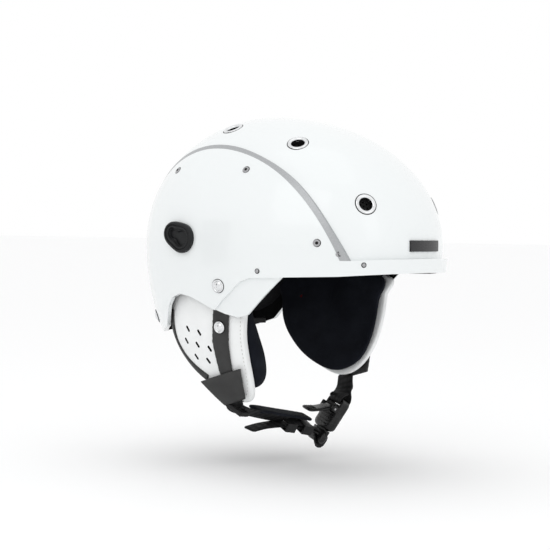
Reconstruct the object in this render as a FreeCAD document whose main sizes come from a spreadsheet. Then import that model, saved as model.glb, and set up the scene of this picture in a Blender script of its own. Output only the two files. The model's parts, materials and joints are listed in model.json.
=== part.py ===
"""Ski helmet: two white shells with chrome vents, leather ear pads, nape dial and ratchet chin strap.

Frame: +Z up, the brim faces -Y and the wearer's right is -X.  The origin is the middle of the dome at
the level where it is widest.  All lengths are in millimetres.
"""
import FreeCAD, Part
import math
import os
import Sketcher
from FreeCAD import Placement, Rotation, Vector

doc = FreeCAD.newDocument("ski_helmet")

# ---------------------------------------------------------------- driving dimensions
SIZES = {
    # outer form of the dome, from its centre
    "half_width": 110.5,
    "front_reach": 161.0,
    "rear_reach": 114.0,
    "dome_rise": 116.4,
    "lower_drop": 163.2,
    "shell_wall": 3.0,
    "panel_raise": 1.2,
    "brim_stand": 6.0,
    "cheek_inset": 1.0,
    "trim_depth": 0.3,
    # soft and hard lining
    "liner_gap": 0.1,
    "liner_inside": 23.0,
    "comfort_gap": 0.3,
    "comfort_thick": 7.0,
    # grommets in the vent holes
    "eyelet_bore": 5.9,
    "eyelet_barrel": 6.9,
    "eyelet_flange": 9.3,
    "eyelet_length": 5.0,
    "eyelet_sink": 0.6,
    "eyelet_crown": 0.9,
    "eyelet_bevel": 0.8,
    "screen_thick": 0.6,
    "screen_hole": 0.9,
    "vent_hole": 7.2,
    # small fasteners
    "screw_head": 3.1,
    "screw_head_height": 0.9,
    "screw_shank": 1.5,
    "screw_length": 3.0,
    "screw_hex": 1.3,
    "rivet_head": 1.9,
    "rivet_height": 0.8,
    "rivet_shank": 1.0,
    "snap_radius": 6.0,
    "snap_height": 2.8,
    "snap_rim": 0.9,
    "snap_post": 2.0,
    "snap_length": 2.4,
    "pad_snap_radius": 5.6,
    "pad_snap_post": 1.3,
    # front badge
    "badge_half": 24.0,
    "badge_low": -4.6,
    "badge_high": 5.2,
    "badge_thick": 1.5,
    # side socket for a face mask
    "socket_big": 13.2,
    "socket_small": 10.2,
    "socket_lobe_back": 13.6,
    "socket_lobe_up": 4.8,
    "socket_height": 4.2,
    "socket_root": 4.0,
    "socket_bore": 6.5,
    "socket_bore_depth": 4.0,
    "socket_slot": 5.0,
    "socket_slot_back": 8.5,
    "socket_slot_up": 3.0,
    "socket_bevel": 1.4,
    "socket_slot_rise": 1.2,
    # goggle tab at the nape
    "tab_half": 11.0,
    "tab_top": -22.0,
    "tab_bottom": -70.0,
    "tab_inside": 3.0,
    "tab_outside": 4.8,
    "tab_post": 1.8,
    "tab_stud": 3.5,
    "tab_stud_hole": 2.2,
    "tab_stud_up": 9.0,
    # nape size adjuster
    "fit_height": -68.0,
    "fit_plane": 66.0,
    "gear_module": 1.0,
    "pinion_teeth": 12.0,
    "gear_addendum": 0.8,
    "gear_dedendum": 1.15,
    "gear_clearance": 0.25,
    "rack_width": 5.0,
    "band_thick": 4.0,
    "band_reach": 58.0,
    "band_bend": 40.0,
    "band_forward": 14.0,
    "dial_radius": 13.0,
    "dial_thick": 7.0,
    "dial_grips": 16.0,
    "dial_shaft": 2.5,
    "running_gap": 0.08,
    "fit_case_half": 27.0,
    "fit_case_up": 14.5,
    "fit_case_wall": 1.6,
    # ear pads
    "pad_drop": 185.0,
    "strap_face": 6.0,
    "strap_thick": 1.8,
    "pad_skin": 2.8,
    "pad_core": 7.2,
    "pad_lining": 4.4,
    "layer_gap": 0.1,
    "sleeve_face": 3.4,
    "slot_length": 6.5,
    "slot_width": 2.8,
    "slot_ring": 13.0,
    "ear_hinge_out": 97.5,
    "ear_hinge_level": -66.0,
    "front_fixed": -30.0,
    "tip_level": -135.0,
    "tip_fade": 30.0,
    "right_lean": 7.0,
    "right_stretch": 1.07,
    "right_splay": 7.0,
    "right_front": 17.0,
    "right_shift": 0.0,
    "left_lean": -8.0,
    "left_stretch": 0.90,
    "left_splay": 0.0,
    "left_front": 0.0,
    "left_shift": -15.0,
    # chin strap and buckle
    "webbing_width": 18.0,
    "webbing_thick": 1.8,
    "webbing_tilt": 25.0,
    "buckle_width": 25.0,
    "buckle_thick": 9.0,
    "buckle_length": 32.0,
    "buckle_corner": 5.0,
    "tongue_width": 16.0,
    "tongue_thick": 3.0,
    "tongue_insert": 22.0,
    "tongue_clear": 0.3,
    "notch_half": 5.0,
    "notch_high": 1.8,
    "bar_slot": 19.0,
    "bar_frame": 24.0,
    "bar_frame_high": 11.0,
    "release_width": 15.0,
    "release_length": 24.0,
    "release_thick": 2.2,
    "release_pin": 1.0,
    "release_barrel": 2.2,
    "keeper_long": 12.0,
    "keeper_half": 12.0,
    "keeper_under": 4.6,
    "keeper_over": 4.2,
    "keeper_side_wall": 1.6,
    "keeper_flat_wall": 1.1,
    "slider_half": 12.0,
    "slider_reach": 6.0,
    "slider_thick": 4.0,
    "slider_gap_half": 9.6,
    "slider_gap_near": 1.2,
    "slider_gap_far": 4.2,
}


def make_sheet():
    """Put every driving dimension in a spreadsheet cell that carries its name as an alias."""
    cells = doc.addObject("Spreadsheet::Sheet", "Sizes")
    for row, (name, number) in enumerate(SIZES.items(), start=1):
        cells.set(f"A{row}", name)
        cells.set(f"B{row}", str(number))
        cells.setAlias(f"B{row}", name)
    doc.recompute()
    return cells


sheet = make_sheet()


def size(words):
    """Value of a sum of aliases and numbers, such as 'eyelet_bore + 0.5'."""
    total = 0.0
    sign = 1
    for word in words.split():
        if word in "+-":
            sign = 1 if word == "+" else -1
            continue
        total += sign * float(getattr(sheet, word) if word in SIZES else word)
        sign = 1
    return total


def formula(words):
    """The same sum as an expression on the spreadsheet."""
    return " ".join("Sizes." + word if word in SIZES else word for word in words.split())


# ---------------------------------------------------------------- helpers for document objects
nodes = []


def keep(thing):
    """Note a sub-part that gets its own file."""
    nodes.append(thing)
    return thing


def feature(label, shape):
    """A sub-part whose shape comes from Part's own functions."""
    thing = doc.addObject("Part::Feature", label)
    thing.Label = label
    thing.Shape = shape
    return keep(thing)


def group(label, things):
    """Identical pieces that share one sub-part."""
    thing = doc.addObject("Part::Compound", label)
    thing.Label = label
    thing.Links = things
    return keep(thing)


def new_body(label):
    body = doc.addObject("PartDesign::Body", label)
    body.Label = label
    return body


def origin_plane(body, role):
    return next(item for item in body.Origin.OriginFeatures if item.Role == role)


def new_sketch(body, role, name):
    sketch = body.newObject("Sketcher::SketchObject", name)
    sketch.AttachmentSupport = (origin_plane(body, role), [""])
    sketch.MapMode = "FlatFace"
    return sketch


def tie(sketch, kind, element, point, words):
    """Hold one coordinate of a sketch point at a formula, measured from the sketch's origin."""
    number = sketch.addConstraint(
        Sketcher.Constraint(kind, -1, 1, element, point, size(words))
    )
    sketch.setExpression(f"Constraints[{number}]", formula(words))


def polygon(sketch, corners):
    """Closed outline of straight edges through corners that are pairs of formulas."""
    spots = [Vector(size(across), size(up), 0) for across, up in corners]
    count = len(spots)
    for index in range(count):
        sketch.addGeometry(Part.LineSegment(spots[index], spots[(index + 1) % count]))
    for index in range(count):
        sketch.addConstraint(Sketcher.Constraint("Coincident", index, 2, (index + 1) % count, 1))
    for index, (across, up) in enumerate(corners):
        tie(sketch, "DistanceX", index, 1, across)
        tie(sketch, "DistanceY", index, 1, up)


def circle(sketch, radius, across="0", up="0"):
    """Circle of a formula's radius."""
    number = sketch.addGeometry(
        Part.Circle(Vector(size(across), size(up), 0), Vector(0, 0, 1), size(radius))
    )
    tie(sketch, "DistanceX", number, 3, across)
    tie(sketch, "DistanceY", number, 3, up)
    bound = sketch.addConstraint(Sketcher.Constraint("Radius", number, size(radius)))
    sketch.setExpression(f"Constraints[{bound}]", formula(radius))


def box_outline(sketch, left, right, low, high):
    polygon(sketch, [(left, low), (right, low), (right, high), (left, high)])


def pad(body, sketch, length, middle=False, reverse=False):
    """Extrude a sketch into material; the length is a formula."""
    solid = body.newObject("PartDesign::Pad", "Pad")
    solid.Profile = sketch
    solid.Length = size(length)
    solid.setExpression("Length", formula(length))
    solid.Midplane = middle
    solid.Reversed = reverse
    return solid


def pocket(body, sketch, depth, middle=False, reverse=False):
    """Cut a sketch's outline out of the body; the depth is a formula."""
    cut = body.newObject("PartDesign::Pocket", "Pocket")
    cut.Profile = sketch
    cut.Length = size(depth)
    cut.setExpression("Length", formula(depth))
    cut.Midplane = middle
    cut.Reversed = reverse
    return cut


def turned(label, corners):
    """Body of revolution about its own Z axis; corners are (radius, height) formulas."""
    body = new_body(label)
    sketch = new_sketch(body, "XZ_Plane", label + "_profile")
    polygon(sketch, corners)
    spin = body.newObject("PartDesign::Revolution", label + "_turn")
    spin.Profile = sketch
    spin.ReferenceAxis = (sketch, ["V_Axis"])
    spin.Angle = 360.0
    return body


# ---------------------------------------------------------------- the dome's own geometry
def dome_axes(grow, front_grow=None, drop=None):
    """Half-axes of the dome grown outward by an amount: width, front, rear, rise and drop."""
    ahead = grow if front_grow is None else front_grow
    below = size("lower_drop") if drop is None else drop
    return (
        size("half_width") + grow,
        size("front_reach") + ahead,
        size("rear_reach") + grow,
        size("dome_rise") + grow,
        below + grow,
    )


def dome(grow, front_grow=None, drop=None):
    """Closed dome: parabolic arcs in plan and elliptical arcs in height, in eight patches."""
    wide, ahead, behind, rise, fall = dome_axes(grow, front_grow, drop)
    rows = ((1, 0, 1), (1, 1, math.sqrt(0.5)), (0, 1, 1))
    faces = []
    for across in (wide, -wide):
        for along in (-ahead, behind):
            for height in (rise, -fall):
                patch = Part.BezierSurface()
                patch.increase(2, 2)
                for i, (px, py) in enumerate(((across, 0), (across, along), (0, along))):
                    for j, (shrink, lift, weight) in enumerate(rows):
                        pole = Vector(px * shrink, py * shrink, height * lift)
                        patch.setPole(i + 1, j + 1, pole, weight)
                faces.append(patch.toShape())
    skin = Part.makeShell(faces)
    skin.sewShape()
    solid = Part.Solid(skin)
    if solid.Volume < 0:
        solid.reverse()
    return solid


def layer(outside, inside, drop=None):
    """Space between two domes."""
    return dome(outside, drop=drop).cut(dome(inside, drop=drop))


def seat(along, height, side, grow=0.0, front_grow=None, drop=None):
    """Point of a dome at a place in side view, and the outward normal there; side is -1 right, 1 left."""
    wide, ahead, behind, rise, fall = dome_axes(grow, front_grow, drop)
    reach = ahead if along < 0 else behind
    tall = rise if height > 0 else fall
    shrink = math.sqrt(1 - (height / tall) ** 2)
    v = abs(along) / (reach * shrink)
    root_v = math.sqrt(1 - v)
    u = 1 - (1 - root_v) ** 2
    root_u = max(math.sqrt(1 - u), 1e-6)
    slope = (u / root_u + v / root_v) * height / (tall * shrink) ** 2
    normal = Vector(
        side / (root_u * wide * shrink),
        math.copysign(1, along) / (root_v * reach * shrink),
        slope,
    )
    return Vector(side * wide * shrink * u, along, height), normal.normalize()


def on_seat(thing, spot, normal, toward=Vector(0, 1, 0), sink=0.0):
    """Place a body with its Z along the normal and its X as near as it can be to a direction."""
    side_axis = normal.cross(toward).normalize()
    ahead = side_axis.cross(normal)
    turn = Rotation(ahead, side_axis, normal, "ZXY")
    thing.Placement = Placement(spot - normal * sink, turn)
    return thing


SPAN = 400.0  # a length that passes right through the helmet


def side_face(edges_or_points):
    points = [Vector(-SPAN / 2, along, height) for along, height in edges_or_points]
    return Part.Face(Part.makePolygon(points + points[:1]))


def prism(points):
    """Side-view outline carried across the whole width."""
    return side_face(points).extrude(Vector(SPAN, 0, 0))


def side_curve(points):
    """Smooth curve through side-view points."""
    curve = Part.BSplineCurve()
    curve.interpolate([Vector(-SPAN / 2, along, height) for along, height in points])
    return curve.toShape()


def curved_prism(curves, corners):
    """Region bounded by smooth curves and then by straight runs through the corners."""
    edges = list(curves)
    points = [Vector(-SPAN / 2, along, height) for along, height in corners]
    edges += [Part.makeLine(a, b) for a, b in zip(points, points[1:])]
    return Part.Face(Part.Wire(Part.sortEdges(edges)[0])).extrude(Vector(SPAN, 0, 0))


def half(side):
    """Everything on one side of the middle plane."""
    low = Vector(0 if side > 0 else -SPAN, -SPAN, -SPAN)
    return Part.makeBox(SPAN, 2 * SPAN, 2 * SPAN, low)


def block(x, y, z):
    """Box between two limits on each axis."""
    return Part.makeBox(x[1] - x[0], y[1] - y[0], z[1] - z[0], Vector(x[0], y[0], z[0]))


SIDES = {"right": -1, "left": 1}

# ---------------------------------------------------------------- side-view outlines (along, height)
# crest: the trim channel that parts the crown from the side panels, front lower end first
CREST_TOP = [(-131, -13), (-117, 15), (-85, 52), (-38, 77.5), (10, 88), (50, 81), (84, 53),
             (101, 15), (105, -30), (95, -84)]
CREST_LOW = [(-125, -13), (-106, 23.5), (-64, 61.5), (-15, 81), (22, 84), (57, 72.5), (80, 50),
             (96, 15), (100.5, -30), (91, -84)]
# rim of the shell from the nape to the cheek, then the brim's lower edge to the front
RIM = [(91, -84), (72, -83.5), (58, -77), (48, -57.6), (41, -50), (30, -46.3), (18, -48.3),
       (7, -52.5), (-6, -58.5), (-18, -62.5), (-31, -65), (-41, -62.3), (-58, -46), (-76.6, -28.4),
       (-123, -26.6), (-155, -23.9), (-200, -20)]
BRIM_TOP = [(-200, -9), (-156, -11.3), (-131, -13), (-125, -13)]
# cheek tab, which lies a step below the side panel
CHEEK_TAB = [(-90, -28.2), (-48, -29.8), (-37.6, -33.5), (-32, -38), (-24, -45.4), (-17, -51),
             (-8, -60), (-8, -80), (-90, -80)]
# lower edge of the hard liner, raised above the shell's rim so that the ear pads tuck under it
LINER_EDGE = [(-200, -16), (-82, -17), (-60, -34), (-44, -49), (-31, -52), (-6, -46), (18, -36.5),
              (30, -34.5), (41, -37), (52, -47), (62, -62), (72, -70), (200, -72)]
PAD_TOP_DROP = 3.0

VENTS = {"front": (-135.5, 35.9), "middle": (-64.6, 89.1), "rear": (16.5, 104.2)}
PANEL_SCREWS = [(-31.5, 64.4), (50.8, 64.5), (-107.9, 1.9)]
BRIM_RIVETS = [(-55.8, -23.4), (-141, -16.2), (-124.0, -7.6)]
SHELL_SNAP = (-15.4, -37.8)
NAPE_SNAP = (83.0, -70.0)
SOCKET_SEAT = (23.0, 3.2)


# ---------------------------------------------------------------- fasteners
def eyelet(label):
    """Chrome grommet: a flange on the shell with a barrel down the vent hole."""
    return turned(label, [
        ("eyelet_bore", "0 - eyelet_length"),
        ("eyelet_barrel", "0 - eyelet_length"),
        ("eyelet_barrel", "0"),
        ("eyelet_flange", "0"),
        ("eyelet_flange - 0.3", "eyelet_crown - 0.2"),
        ("eyelet_flange - eyelet_bevel", "eyelet_crown"),
        ("eyelet_bore + eyelet_bevel", "eyelet_crown"),
        ("eyelet_bore", "eyelet_crown - eyelet_bevel"),
    ])


def screw(label):
    """Panel screw with a hexagon socket."""
    body = turned(label, [
        ("0", "0 - screw_length"),
        ("screw_shank", "0 - screw_length"),
        ("screw_shank", "0"),
        ("screw_head", "0"),
        ("screw_head", "screw_head_height - 0.3"),
        ("screw_head - 0.4", "screw_head_height"),
        ("0", "screw_head_height"),
    ])
    sketch = new_sketch(body, "XY_Plane", label + "_hex")
    corners = []
    for step in range(6):
        turn = math.radians(60 * step)
        corners.append((
            f"{size('screw_hex') * math.cos(turn):.5f}",
            f"{size('screw_hex') * math.sin(turn):.5f}",
        ))
    polygon(sketch, corners)
    pocket(body, sketch, "screw_head_height + 1", reverse=True)
    return body


def rivet(label):
    return turned(label, [
        ("0", "0 - screw_length"),
        ("rivet_shank", "0 - screw_length"),
        ("rivet_shank", "0"),
        ("rivet_head", "0"),
        ("rivet_head - 0.3", "rivet_height - 0.3"),
        ("rivet_head - 0.9", "rivet_height"),
        ("0", "rivet_height"),
    ])


def snap_cap(label, radius, length="snap_length"):
    """Domed press-stud cap with a rolled rim and a short post."""
    return turned(label, [
        ("0", f"0 - {length}"),
        ("snap_post", f"0 - {length}"),
        ("snap_post", "0"),
        (radius, "0"),
        (radius, "snap_rim"),
        (f"{radius} - 0.5", "snap_rim + 0.3"),
        (f"{radius} - 1.2", "snap_rim + 0.5"),
        (f"{radius} - 2.4", "snap_rim + 1.2"),
        (f"{radius} - 4.0", "snap_rim + 1.7"),
        ("0", "snap_height"),
    ])


def drill(radius, depth, spot, normal, height=12.0):
    """Cylinder on a seat's normal, from a depth under the surface outward."""
    return Part.makeCylinder(radius, depth + height, spot - normal * depth, normal)


PANEL = {"grow": size("panel_raise"), "front_grow": size("brim_stand")}


def fasteners():
    """Make every fastener of the shells; returns the holes that they need in the shells."""
    holes = []
    doc.recompute()
    screens = []
    for side_name, side in SIDES.items():
        for place, (along, height) in VENTS.items():
            spot, normal = seat(along, height, side)
            keep(on_seat(eyelet(f"eyelet_{place}_{side_name}"), spot, normal, sink=size("eyelet_sink")))
            holes.append(drill(size("eyelet_barrel"), size("eyelet_length") + 1, spot, normal))
            holes.append(drill(size("eyelet_flange"), size("eyelet_sink"), spot, normal))
            screens.append(screen(f"screen_{place}_{side_name}", spot, normal))
    group("vent_screens", screens)
    screws = []
    rivets = []
    snaps = []
    for side in SIDES.values():
        for along, height in PANEL_SCREWS:
            spot, normal = seat(along, height, side, **PANEL)
            screws.append(on_seat(screw("screw"), spot, normal, sink=0.2))
            holes.append(drill(size("screw_shank"), size("screw_length") + 0.2, spot, normal))
            holes.append(drill(size("screw_head"), 0.2, spot, normal))
        for along, height in BRIM_RIVETS:
            spot, normal = seat(along, height, side, **PANEL)
            rivets.append(on_seat(rivet("rivet"), spot, normal, sink=0.1))
            holes.append(drill(size("rivet_shank"), size("screw_length") + 0.1, spot, normal))
            holes.append(drill(size("rivet_head"), 0.1, spot, normal))
        for along, height in (SHELL_SNAP, NAPE_SNAP):
            spot, normal = seat(along, height, side, **PANEL)
            snaps.append(on_seat(snap_cap("snap", "snap_radius"), spot, normal, sink=0.3))
            holes.append(drill(size("snap_post"), size("snap_length") + 0.3, spot, normal))
            holes.append(drill(size("snap_radius"), 0.3, spot, normal))
    group("panel_screws", screws)
    group("brim_rivets", rivets)
    group("shell_snaps", snaps)
    return holes


def screen(label, spot, normal):
    """Thin disc with seven holes that closes a grommet's inner end."""
    body = new_body(label)
    sketch = new_sketch(body, "XY_Plane", label + "_disc")
    circle(sketch, "eyelet_barrel")
    pad(body, sketch, "screen_thick")
    holes = new_sketch(body, "XY_Plane", label + "_holes")
    circle(holes, "screen_hole")
    for step in range(6):
        turn = math.radians(60 * step)
        circle(holes, "screen_hole", f"{3.6 * math.cos(turn):.4f}", f"{3.6 * math.sin(turn):.4f}")
    pocket(body, holes, "screen_thick + 1", reverse=True)
    depth = size("eyelet_length + eyelet_sink + screen_thick")
    return on_seat(body, spot, normal, sink=depth)


# ---------------------------------------------------------------- shells, trim and lining
def cut_all(shape, tools):
    for tool in tools:
        if shape.BoundBox.intersect(tool.BoundBox):
            shape = shape.cut(tool)
    return shape


def shells(holes):
    """Crown, wrap-round lower shell with the brim, and the two trim strips between them."""
    wall = -size("shell_wall")
    behind = [
        (95, -84), (150, -84), (150, 150), (-200, 150), (-200, -8.9), (-156, -11.2), (-131, -13),
    ]
    crown_region = curved_prism([side_curve(CREST_TOP)], behind)
    crown = layer(0, wall).common(crown_region)
    feature("crown_shell", cut_all(crown, holes))

    side_region = curved_prism([side_curve(CREST_LOW)], RIM + BRIM_TOP)
    lower = dome(**PANEL).cut(dome(wall)).common(side_region)
    recess = prism(CHEEK_TAB).cut(dome(-size("cheek_inset")))
    feature("lower_shell", cut_all(lower.cut(recess), holes))

    edges = [side_curve(CREST_TOP), side_curve(CREST_LOW)]
    for first, last in ((CREST_TOP[0], CREST_LOW[0]), (CREST_TOP[-1], CREST_LOW[-1])):
        start = Vector(-SPAN / 2, *first)
        finish = Vector(-SPAN / 2, *last)
        edges.append(Part.makeLine(start, finish))
    channel = Part.Face(Part.Wire(Part.sortEdges(edges)[0])).extrude(Vector(SPAN, 0, 0))
    sunk = size("trim_depth")
    strip = dome(PANEL["grow"] - sunk, PANEL["front_grow"] - sunk).cut(dome(wall)).common(channel)
    for name, side in SIDES.items():
        feature(f"trim_strip_{name}", cut_all(strip.common(half(side)), holes))


def badge():
    """Blank plate that follows the brow."""
    plate = dome(size("badge_thick")).cut(dome(0))
    reach = size("badge_half")
    feature("badge_plate", plate.common(
        block((-reach, reach), (-SPAN, 0), (size("badge_low"), size("badge_high")))
    ))


def above_liner_edge(shift=0.0):
    """Everything above the hard liner's lower edge."""
    points = [(along, height + shift) for along, height in LINER_EDGE]
    return prism(points + [(200, 200), (-200, 200)])


def below_liner_edge(shift=0.0):
    points = [(along, height + shift) for along, height in LINER_EDGE]
    return prism(points + [(200, -300), (-200, -300)])


def linings():
    """Foam liner with its vent holes, and the comfort pads inside it."""
    outside = -size("shell_wall + liner_gap")
    inside = -size("liner_inside")
    liner = layer(outside, inside).common(above_liner_edge())
    for side in SIDES.values():
        for along, height in VENTS.values():
            spot, normal = seat(along, height, side)
            liner = liner.cut(drill(size("vent_hole"), size("liner_inside") + 6, spot, normal))
    feature("foam_liner", liner)

    face = inside - size("comfort_gap")
    comfort = layer(face, face - size("comfort_thick"))
    feature("brow_pad", comfort.common(block((-80, 80), (-200, -72), (-14, 12))))
    feature("nape_pad", comfort.common(block((-52, 52), (50, 200), (-46, -18))))
    crown_ring = Part.makeCylinder(46, 200, Vector(0, -22, 40)).cut(
        Part.makeCylinder(20, 200, Vector(0, -22, 40))
    )
    feature("crown_pad", comfort.common(crown_ring))
    for name, side in SIDES.items():
        strip = comfort.common(block((-200, 200), (-58, 44), (-26, 10))).common(half(side))
        feature(f"temple_pad_{name}", strip)


# ---------------------------------------------------------------- mask sockets
def bevelled_disc(label, radius, bevel, across="0", up="0"):
    """Round boss with a bevelled top edge, from a cylinder and a cone bound to the sheet."""
    low = doc.addObject("Part::Cylinder", label + "_wall")
    low.setExpression("Radius", formula(radius))
    low.setExpression("Height", formula(f"socket_root + socket_height - {bevel}"))
    low.Placement = Placement(Vector(size(across), size(up), -size("socket_root")), Rotation())
    top = doc.addObject("Part::Cone", label + "_bevel")
    top.setExpression("Radius1", formula(radius))
    top.setExpression("Radius2", formula(f"{radius} - {bevel}"))
    top.Height = size(bevel)
    top.setExpression("Height", formula(bevel))
    top.Placement = Placement(
        Vector(size(across), size(up), size(f"socket_height - {bevel}")), Rotation()
    )
    return [low, top]


def mask_socket(name, side):
    """Two-lobed black socket: a round bore for a mask's stud and a smaller slot beside it."""
    spot, normal = seat(*SOCKET_SEAT, side, **PANEL)
    turn = "" if side > 0 else "0 - "
    blank = doc.addObject("Part::MultiFuse", f"socket_blank_{name}")
    blank.Shapes = bevelled_disc(f"big_{name}", "socket_big", "socket_bevel") + bevelled_disc(
        f"small_{name}", "socket_small", "socket_bevel", "socket_lobe_back", turn + "socket_lobe_up"
    )
    on_seat(blank, spot, normal)
    doc.recompute()
    shape = blank.Shape.cut(dome(**PANEL))
    ahead = blank.Placement.Rotation.multVec(Vector(1, 0, 0))
    across = blank.Placement.Rotation.multVec(Vector(0, 1, 0))
    floor = size("socket_height - socket_bore_depth")
    slot_floor = floor + size("socket_slot_rise")
    bore = Part.makeCylinder(size("socket_bore"), 10, spot + normal * floor, normal)
    slot_up = size(turn + "socket_slot_up")
    slot_spot = spot + ahead * size("socket_slot_back") + across * slot_up + normal * slot_floor
    slot = Part.makeCylinder(size("socket_slot"), 10, slot_spot, normal)
    feature(f"mask_socket_{name}", shape.cut(bore).cut(slot))


# ---------------------------------------------------------------- goggle tab at the nape
def goggle_tab():
    """Leather tab that holds a goggle strap: a fixed root, the lifting tab and its press stud."""
    reach = size("tab_half")
    top = size("tab_top")
    wide = (-reach, reach)
    tab = layer(size("tab_outside"), size("tab_inside")).common(
        block(wide, (0, SPAN), (size("tab_bottom"), top))
    )
    level = size("tab_bottom + tab_stud_up")
    middle = Vector(0, rear_height(level, 0), level)
    out = rear_normal(level)
    stud = Part.makeCylinder(size("tab_stud"), size("tab_inside") - 0.6, middle + out * 0.5, out)
    tab = tab.cut(Part.makeCylinder(size("tab_stud_hole"), 20, middle, out))
    feature("goggle_tab", tab)
    feature("goggle_tab_stud", stud.cut(dome(0)))
    cap = snap_cap("goggle_tab_snap", "pad_snap_radius", "tab_post")
    keep(on_seat(cap, middle + out * (size("tab_outside") + 0.1), out, toward=Vector(1, 0, 0)))
    root = layer(size("tab_inside") - 0.1, 0.1).common(block(wide, (0, SPAN), (top - 8, top + 4)))
    feature("goggle_tab_root", root)


def rear_height(height, grow):
    """How far back the dome's middle line is at a height."""
    wide, ahead, behind, rise, fall = dome_axes(grow)
    tall = rise if height > 0 else fall
    return behind * math.sqrt(1 - (height / tall) ** 2)


def rear_normal(height):
    wide, ahead, behind, rise, fall = dome_axes(0)
    tall = rise if height > 0 else fall
    lean = rear_height(height, 0) / behind ** 2
    return Vector(0, lean, height / tall ** 2).normalize()


# ---------------------------------------------------------------- nape size adjuster
def gear_outline(teeth, module):
    """Straight-flanked gear outline, slack enough to run in a rack."""
    pitch_radius = teeth * module / 2
    tip = pitch_radius + size("gear_addendum") * module
    foot = pitch_radius - size("gear_dedendum") * module
    step = 2 * math.pi / teeth
    thick = step / 4 - size("gear_clearance") / pitch_radius / 2
    slope = math.tan(math.radians(20))
    points = []
    for tooth in range(int(teeth)):
        middle = tooth * step
        for radius, sign in ((foot, -1), (tip, -1), (tip, 1), (foot, 1)):
            spread = thick - (radius - pitch_radius) * slope / pitch_radius
            angle = middle + sign * spread
            points.append(Vector(radius * math.sin(angle), 0, radius * math.cos(angle)))
    return points


def extrude_outline(points, along):
    return Part.Face(Part.makePolygon(points + points[:1])).extrude(along)


def rack_points(first, last, pitch_line, up):
    """Rack outline in X and Z; its teeth point at the pinion, with a gap on the pinion's centre."""
    module = size("gear_module")
    pitch = math.pi * module
    slope = math.tan(math.radians(20))
    half_tooth = pitch / 4 - size("gear_clearance") / 2
    tip = size("gear_addendum") * module
    foot = size("gear_dedendum") * module
    back = foot + size("rack_width")
    points = [(first, back), (first, foot)]
    count = int((last - first) / pitch) + 2
    start = math.floor(first / pitch) + 0.5
    for index in range(count):
        middle = (start + index) * pitch
        if middle - half_tooth - 1 < first or middle + half_tooth + 1 > last:
            continue
        for depth, sign in ((foot, -1), (-tip, -1), (-tip, 1), (foot, 1)):
            spread = half_tooth + depth * slope
            points.append((middle + sign * spread, depth))
    points += [(last, foot), (last, back)]
    return [Vector(x, 0, pitch_line + up * depth) for x, depth in points]


def size_adjuster():
    """Dial and pinion that draw two racked nape bands together inside a case."""
    level = size("fit_height")
    plane = size("fit_plane")
    thick = size("band_thick")
    teeth = size("pinion_teeth")
    pitch_radius = teeth * size("gear_module") / 2
    gap = size("running_gap")
    shaft = size("dial_shaft")
    wall = size("fit_case_wall")
    rear = plane + thick / 2
    centre = Vector(0, 0, level)

    pinion = extrude_outline(gear_outline(teeth, size("gear_module")), Vector(0, thick - 0.4, 0))
    pinion.translate(Vector(0, plane - thick / 2 + 0.2, level))
    pinion = pinion.cut(Part.makeCylinder(shaft, 60, Vector(0, plane - 30, level), Vector(0, 1, 0)))
    feature("fit_pinion", pinion)

    knob_near = rear + wall + 0.4
    knob = Part.makeCylinder(size("dial_radius"), size("dial_thick"), centre + Vector(0, knob_near, 0),
                             Vector(0, 1, 0))
    grips = int(size("dial_grips"))
    for index in range(grips):
        turn = 2 * math.pi * index / grips
        reach = size("dial_radius") + 0.9
        notch = centre + Vector(reach * math.sin(turn), knob_near - 1, reach * math.cos(turn))
        knob = knob.cut(Part.makeCylinder(1.9, 20, notch, Vector(0, 1, 0)))
    axle = Part.makeCylinder(shaft - 0.01, knob_near - plane + thick / 2 + wall, Vector(
        0, plane - thick / 2 - wall, level), Vector(0, 1, 0))
    feature("fit_dial", knob.fuse(axle).removeSplitter())

    half_wide = size("fit_case_half")
    half_tall = size("fit_case_up")
    case = block((-half_wide, half_wide), (plane - thick / 2 - wall, rear + wall),
                 (level - half_tall, level + half_tall))
    cavity = block((-half_wide - 1, half_wide + 1), (plane - thick / 2 - 0.15, rear + 0.15),
                   (level - half_tall + wall, level + half_tall - wall))
    case = case.cut(cavity)
    case = case.cut(Part.makeCylinder(shaft + gap, 60, Vector(0, plane - 30, level), Vector(0, 1, 0)))
    hanger = block((-9, 9), (plane - thick / 2 - wall, 110),
                   (level + half_tall, level + half_tall + 3))
    hanger = hanger.common(dome(-size("liner_inside") - 0.1))
    ribs = block((-9, 9), (plane - thick / 2 - wall, plane - thick / 2 - 0.2),
                 (level + half_tall - 1, level + half_tall + 3))
    feature("fit_case", case.fuse(hanger).fuse(ribs).removeSplitter())

    reach = size("band_reach")
    bend = size("band_bend")
    forward = size("band_forward")
    for name, side in SIDES.items():
        up = -side
        inner = -side * 14.0
        first, last = sorted((inner, side * (bend - 12)))
        rack = rack_points(first, last, pitch_radius * up, up)
        blank = extrude_outline(rack, Vector(0, thick - 0.4, 0))
        blank.translate(Vector(0, plane - thick / 2 + 0.2, level))
        low = up * (pitch_radius + size("gear_dedendum"))
        high = up * (pitch_radius + size("gear_dedendum + rack_width"))
        y0 = plane - thick / 2 + 0.2
        y1 = plane + thick / 2 - 0.2
        arm = [Vector(side * x, y, level + low) for x, y in (
            (bend - 13, y0), (bend, y0), (reach, y0 - forward), (reach, y1 - forward), (bend + 1, y1),
            (bend - 13, y1))]
        arm = Part.Face(Part.makePolygon(arm + arm[:1])).extrude(Vector(0, 0, high - low))
        feature(f"fit_band_{name}", blank.fuse(arm).removeSplitter())


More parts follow.
